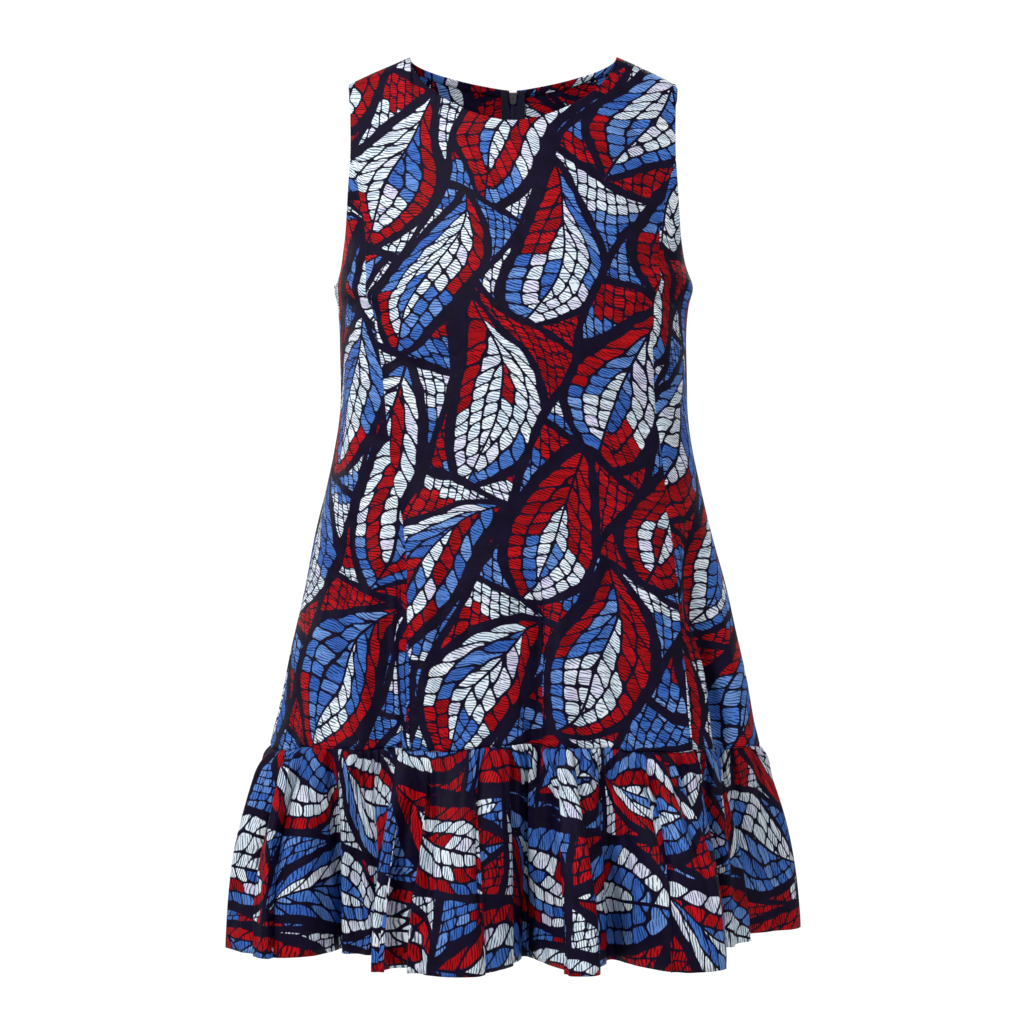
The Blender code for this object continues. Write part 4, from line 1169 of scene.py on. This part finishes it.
# A band changes colour along its way in runs of a few cells.
counted = add("Math FLOOR", cuts)
run = add("Math SNAP", counted, 6.0)
leaf_band = add("Math MULTIPLY", band, add("Math LESS_THAN", band, 20.0))
ink_chance = add("TexWhiteNoise", add("CombineXYZ", leaf_band, run, mark))
# The outer band is seldom white and the inner ones often are.
inner = add("Math MINIMUM", leaf_band, 2.0)
chosen = add("Math ADD", ink_chance, add("Math MULTIPLY_ADD", inner, 0.17, -0.06))
tint = add("TexWhiteNoise", add("CombineXYZ", band, counted, mark))
add("NodeGroupOutput", inside, chosen, tint)
print("cell size:", round(BAND * 1000, 1), "by", round(CELL * 1000, 1), "mm")

# %% [markdown]
# ## Printed cotton
# Plain weave cotton, printed on both faces and finished with a light starch. The starch gives a soft
# satin gloss on the crests of folds, and the weave and small crinkles break it up. The threads are
# about a quarter of a millimetre apart, and are drawn twice as coarse so that they can be seen.


# %% Inks
SWAY = 0.050  # how far the rows of leaves wander
FLAT = {"noise_dimensions": "2D"}
cotton = bpy.data.materials.new("Starched wax print cotton")
add = emptied(cotton)
uv = add("UVMap", uv_map="cloth")
sway = add("TexNoise", uv, Scale=7.0, Detail=1.0, **FLAT).outputs["Color"]
swayed = add("VectorMath MULTIPLY_ADD", sway, (SWAY, SWAY, 0.0), uv)
layout = {"Turn": 0.50, "Pitch": (0.094, 0.166, 1.0), "Size": (0.042, 0.084, 0.0)}
leaves = add("Group", node_tree=leaf, Cloth=swayed, **layout).outputs
mosaic = add("Group", uv, leaves["Motif"], leaves["Depth"], node_tree=cells).outputs
# Red, blue and white inks, each uneven from cell to cell.
tint, chance = mosaic["Tint"], mosaic["Chance"]
red = add("Mix", tint, linear("#9f040f"), linear("#c80f1a"), data_type="RGBA")
blue = add("ValToRGB", tint, stops=[(0.0, "#3765be"), (0.5, "#4b7ed3"), (1.0, "#7aa2e3")])
white_stops = [(0.0, "#e4e0fa"), (0.25, "#ecf2fe"), (0.6, "#e1f0fc"), (1.0, "#f4faff")]
white = add("ValToRGB", tint, stops=white_stops)
ink = red
for least, other in ((0.33, blue), (0.70, white)):
    ink = add("Mix", add("Math GREATER_THAN", chance, least), ink, other, data_type="RGBA")
print("inks and layout:", len(cotton.node_tree.nodes), "nodes")

# %% Hatching and crackle
HATCH = 0.0025  # from one line to the next
# Hatching: darker lines of the same ink, not quite half as wide as their spacing, broken in places.
split = add("SeparateXYZ", uv).outputs
drift = add("TexNoise", uv, Scale=38.0, Detail=1.0, **FLAT)
slant = add("Math MULTIPLY_ADD", split[0], math.tan(HATCH_TURN), split[1])
slant = add("Math MULTIPLY_ADD", drift, 0.009, slant)
wave = add("Math SINE", add("Math MULTIPLY", slant, 2 * math.pi / HATCH))
breaks = add("Mapping", uv, Scale=(34.0, 420.0, 1.0))
breaks = add("TexNoise", breaks, Scale=1.0, Detail=0.0, **FLAT)
level = add("Math MULTIPLY_ADD", breaks, -2.4, 1.66)
hatch = add("Math SUBTRACT", wave, level)
hatch = add("MapRange", hatch, -0.15, 0.15, interpolation_type="SMOOTHSTEP")
darker = {"data_type": "RGBA", "blend_type": "MULTIPLY"}
ink = add("Mix", hatch, ink, linear("#64768a"), **darker)
# Crackle: hair lines where the wax broke.
cracks = {"feature": "DISTANCE_TO_EDGE", "voronoi_dimensions": "2D"}
crackle = add("TexVoronoi", uv, Scale=52.0, **cracks)
crackle = add("MapRange", crackle, 0.020, 0.0, To_Max=0.35)
left = add("Math MULTIPLY_ADD", crackle, -1.0, 1.0)
inked = add("Math MULTIPLY", mosaic["Inside"], left)
mottle = add("TexNoise", uv, Scale=60.0, Detail=3.0, **FLAT)
ground = add("ValToRGB", mottle, stops=[(0.3, "#0d071e"), (0.7, "#150d2a")])
colour = add("Mix", inked, ground, ink, data_type="RGBA")
print("hatching:", round(HATCH * 1000, 1), "mm apart")

# %% Weave and gloss
THREAD = 0.0005
threads = add("VectorMath SINE", add("VectorMath SCALE", uv, 2 * math.pi / THREAD))
threads = add("SeparateXYZ", threads).outputs
weave = add("Math MULTIPLY", threads[0], threads[1])
# Crinkles are some millimetres across.
crinkle = add("TexNoise", uv, Scale=75.0, Detail=4.0, Roughness=0.55, **FLAT)
fine = add("Bump", Height=weave, Distance=0.00004, Strength=0.5)
soft = add("Bump", Height=crinkle, Distance=0.0011, Strength=0.8, Normal=fine)
rough = add("MapRange", mottle, 0.3, 0.7, 0.50, 0.62)
finish = {"Base_Color": colour, "Roughness": rough, "Normal": soft, "Specular_IOR_Level": 0.08}
add("OutputMaterial", add("BsdfPrincipled", **finish))
print("cotton nodes:", len(cotton.node_tree.nodes))

# %% [markdown]
# ## Concealed zip
# A concealed zip hides behind the centre back seam. Two woven tapes are sewn inside, one to each
# back, with a nylon coil between them, and the slider's bridge comes out at the neck to carry the
# pull tab. The tapes are thin sheets that follow the seam. The coil is hundreds of small loops, so
# each is only a cube with its edges cut off. The slider and the tab keep their plain shapes.


# %% The line of the zip
ZIP_LENGTH = 0.48
zip_line = [zip_line[::-1, :3], zip_outward[::-1], unit(zip_beside - zip_line)[::-1, :3]]
zip_downs = np.concatenate([[0.0], np.cumsum(np.linalg.norm(np.diff(zip_line[0], axis=0), axis=1))])


def along_zip(down):
    """The seam's point, its way out and its way to the wearer's left, at distances from the neck."""
    found = [np.stack([np.interp(down, zip_downs, part) for part in line.T], axis=-1) for line in zip_line]
    return found[0], unit(found[1]), unit(found[2])


print("zip line:", len(zip_downs), "points down to", round(float(zip_downs[-1]), 3), "m")

# %% Zip tapes
TAPE_OUTER = 0.0125
TAPE_WALL = 0.0005
TAPE_OUT = -0.0019  # behind the cloth's middle
TAPE_RIPPLE = 0.00012
TAPE_EDGES = table("down inner", (0.0012, 0.0046), (0.0140, 0.0046), (0.0190, 0.0022), (ZIP_LENGTH, 0.0022))
down = np.linspace(ZIP_LENGTH, TAPE_EDGES[0].down, 190)
inner = np.interp(down, *zip(*TAPE_EDGES))
middle, out, left_side = along_zip(down)
tapes = {}
for name, side in (("zip_tape_left", 1), ("zip_tape_right", -1)):
    columns = []
    for share in np.linspace(0, 1, 9)[::-side]:
        across = inner + (TAPE_OUTER - inner) * share
        ripple = TAPE_RIPPLE * np.sin(down * 520 + side) * share
        place = middle + left_side * (side, 1, 1) * across[:, None] + out * (TAPE_OUT + ripple)[:, None]
        columns.append(np.column_stack([place, across, down]))
    tapes[name] = sheet_object("cloth_" + name, np.stack(columns), TAPE_WALL)

# %% Coil
COIL_TOP = 0.0150
COIL_PITCH = 0.0015
COIL_OUT = -0.0024
COIL_SIDE = 0.0005
LOOP = Vector((0.0033, 0.00085, 0.0013))  # across, along and through one loop
LOOP_LEAN = math.radians(9)
shape = bmesh.new()
places = np.arange(COIL_TOP, ZIP_LENGTH - 0.002, COIL_PITCH / 2)
beside = Vector((1.0, 0.0, 0.0))
for number, (centre, normal, _) in enumerate(zip(*along_zip(places))):
    side, normal = 1 if number % 2 else -1, Vector(normal)
    turned = Matrix((beside, normal.cross(beside).normalized(), normal)).transposed().to_4x4()
    place = Vector(centre) + beside * COIL_SIDE * side + normal * COIL_OUT
    lean = Matrix.Rotation(LOOP_LEAN * side, 4, "Z")
    matrix = Matrix.Translation(place) @ turned @ lean @ Matrix.Diagonal((*LOOP, 1.0))
    bmesh.ops.create_cube(shape, size=1.0, matrix=matrix)
cut = {"affect": "EDGES", "segments": 1, "profile": 0.5, "material": -1}
bmesh.ops.bevel(shape, geom=shape.edges[:], offset=0.00022, **cut)
coil = in_scene("coil", bpy.data.meshes.new("coil"))
shape.to_mesh(coil.data)
shape.free()
print("loops:", len(places), "faces:", len(coil.data.polygons))

# %% [markdown]
# ## Tape, coil and metal
# Zip tape is polyester woven in a fine herringbone, dull beside the cotton. The coil is nylon, which
# shines softly. Slider and tab are cast in zinc and plated with nickel, then handled, so the plating
# keeps a soft shine with fine scratches along the tab.


# %% Zip tape
RIB = 0.0009
# Woven polyester, dyed: dull, with ribs that slant one way and the other every two ribs.
tape_cloth = bpy.data.materials.new("Woven polyester zip tape")
add = emptied(tape_cloth)
uv = add("UVMap", uv_map="cloth")
split = add("SeparateXYZ", uv).outputs
ribs = add("Math ADD", add("Math PINGPONG", split[0], 2 * RIB), split[1])
ribs = add("Math SINE", add("Math MULTIPLY", ribs, 2 * math.pi / RIB))
thread = add("TexNoise", uv, Scale=900.0, Detail=2.0, **FLAT)
# Painted shade: the tone is darker between the ribs and lighter on them, and the threads' own unevenness
# varies it too.
shade = add("Math MULTIPLY_ADD", ribs, 0.25, thread)
tone = add("ValToRGB", shade, stops=[(0.2, "#100f22"), (0.8, "#24223d")])
bump = add("Bump", Height=ribs, Distance=0.0001, Strength=0.6)
finish = {"Base_Color": tone, "Normal": bump, "Roughness": 0.85, "Specular_IOR_Level": 0.2}
add("OutputMaterial", add("BsdfPrincipled", **finish))
print("tape nodes:", len(tape_cloth.node_tree.nodes))

# %% Nylon
# Nylon monofilament, pressed into loops: a soft shine, and a colour a little cloudy inside.
nylon = bpy.data.materials.new("Moulded nylon coil")
add = emptied(nylon)
where = add("TexCoord").outputs["Object"]
cloudy = add("TexNoise", where, Scale=300.0)
tone = add("ValToRGB", cloudy, stops=[(0.3, "#15142b"), (0.7, "#232241")])
add("OutputMaterial", add("BsdfPrincipled", Base_Color=tone, Roughness=0.42))
print("nylon nodes:", len(nylon.node_tree.nodes))

# %% Nickel plate
# Zinc cast to shape, tumbled and plated: its shine is uneven where it was handled, and scratched.
nickel = bpy.data.materials.new("Nickel-plated zinc casting")
add = emptied(nickel)
where = add("TexCoord").outputs["Object"]
worn = add("TexNoise", where, Scale=420.0, Detail=3.0)
tone = add("ValToRGB", worn, stops=[(0.3, "#a3a6ac"), (0.7, "#c2c4c9")])
gloss = add("MapRange", worn, To_Min=0.26, To_Max=0.44)
fine = add("Mapping", where, Scale=(6000.0, 900.0, 900.0))
scratches = add("TexNoise", fine, Scale=1.0, Detail=1.0)
bump = add("Bump", Height=scratches, Distance=0.00003, Strength=0.5)
finish = {"Base_Color": tone, "Metallic": 1.0, "Roughness": gloss, "Normal": bump}
add("OutputMaterial", add("BsdfPrincipled", **finish))
print("materials:", [made.name for made in (cotton, tape_cloth, nylon, nickel)])

# %% [markdown]
# ## Put the dress together
# Each fine sheet takes the place of one plain solid and moves with its body. The size each sheet
# was cut to, which its UV map holds, is worked out and printed.


# %% Materials, bodies and cut sizes
def cut_size(mesh, turn):
    """Width, length and area of a sheet's flat cloth, in metres, from its UV map, turned back."""
    places = np.empty(len(mesh.loops) * 2, np.float32)
    mesh.uv_layers["cloth"].data.foreach_get("uv", places)
    corners = places.reshape(-1, 4, 2).astype(float) @ rotation(-turn)
    a, b = corners[:, 2] - corners[:, 0], corners[:, 3] - corners[:, 1]
    area = np.abs(a[:, 0] * b[:, 1] - a[:, 1] * b[:, 0]).sum() / 2
    wide, long = np.ptp(corners.reshape(-1, 2), axis=0)
    return float(wide), float(long), float(min(area, wide * long))


def joins(piece, node_name, slot, material):
    """Gives a piece its material, and lets it ride in the place of a plain solid."""
    piece.data.materials.append(material)
    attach(piece, "root")
    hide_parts(node_name)


for name, obj in {**cloth, **tapes}.items():
    joins(obj, name, *(("zip_tape", tape_cloth) if name in tapes else ("cotton", cotton)))
    gathered = name.startswith("flounce")
    wide, long, area = cut_size(obj.data, HATCH_TURN if gathered else 0.0)
    print(name, "cut", round(wide, 3), "by", round(long, 3), "m, area", round(area, 4))
joins(coil, "zip_coil", "zip_coil", nylon)
for name in ("zip_slider", "zip_pull_tab"):
    frame["nodes"][name].material_slots[0].material = nickel
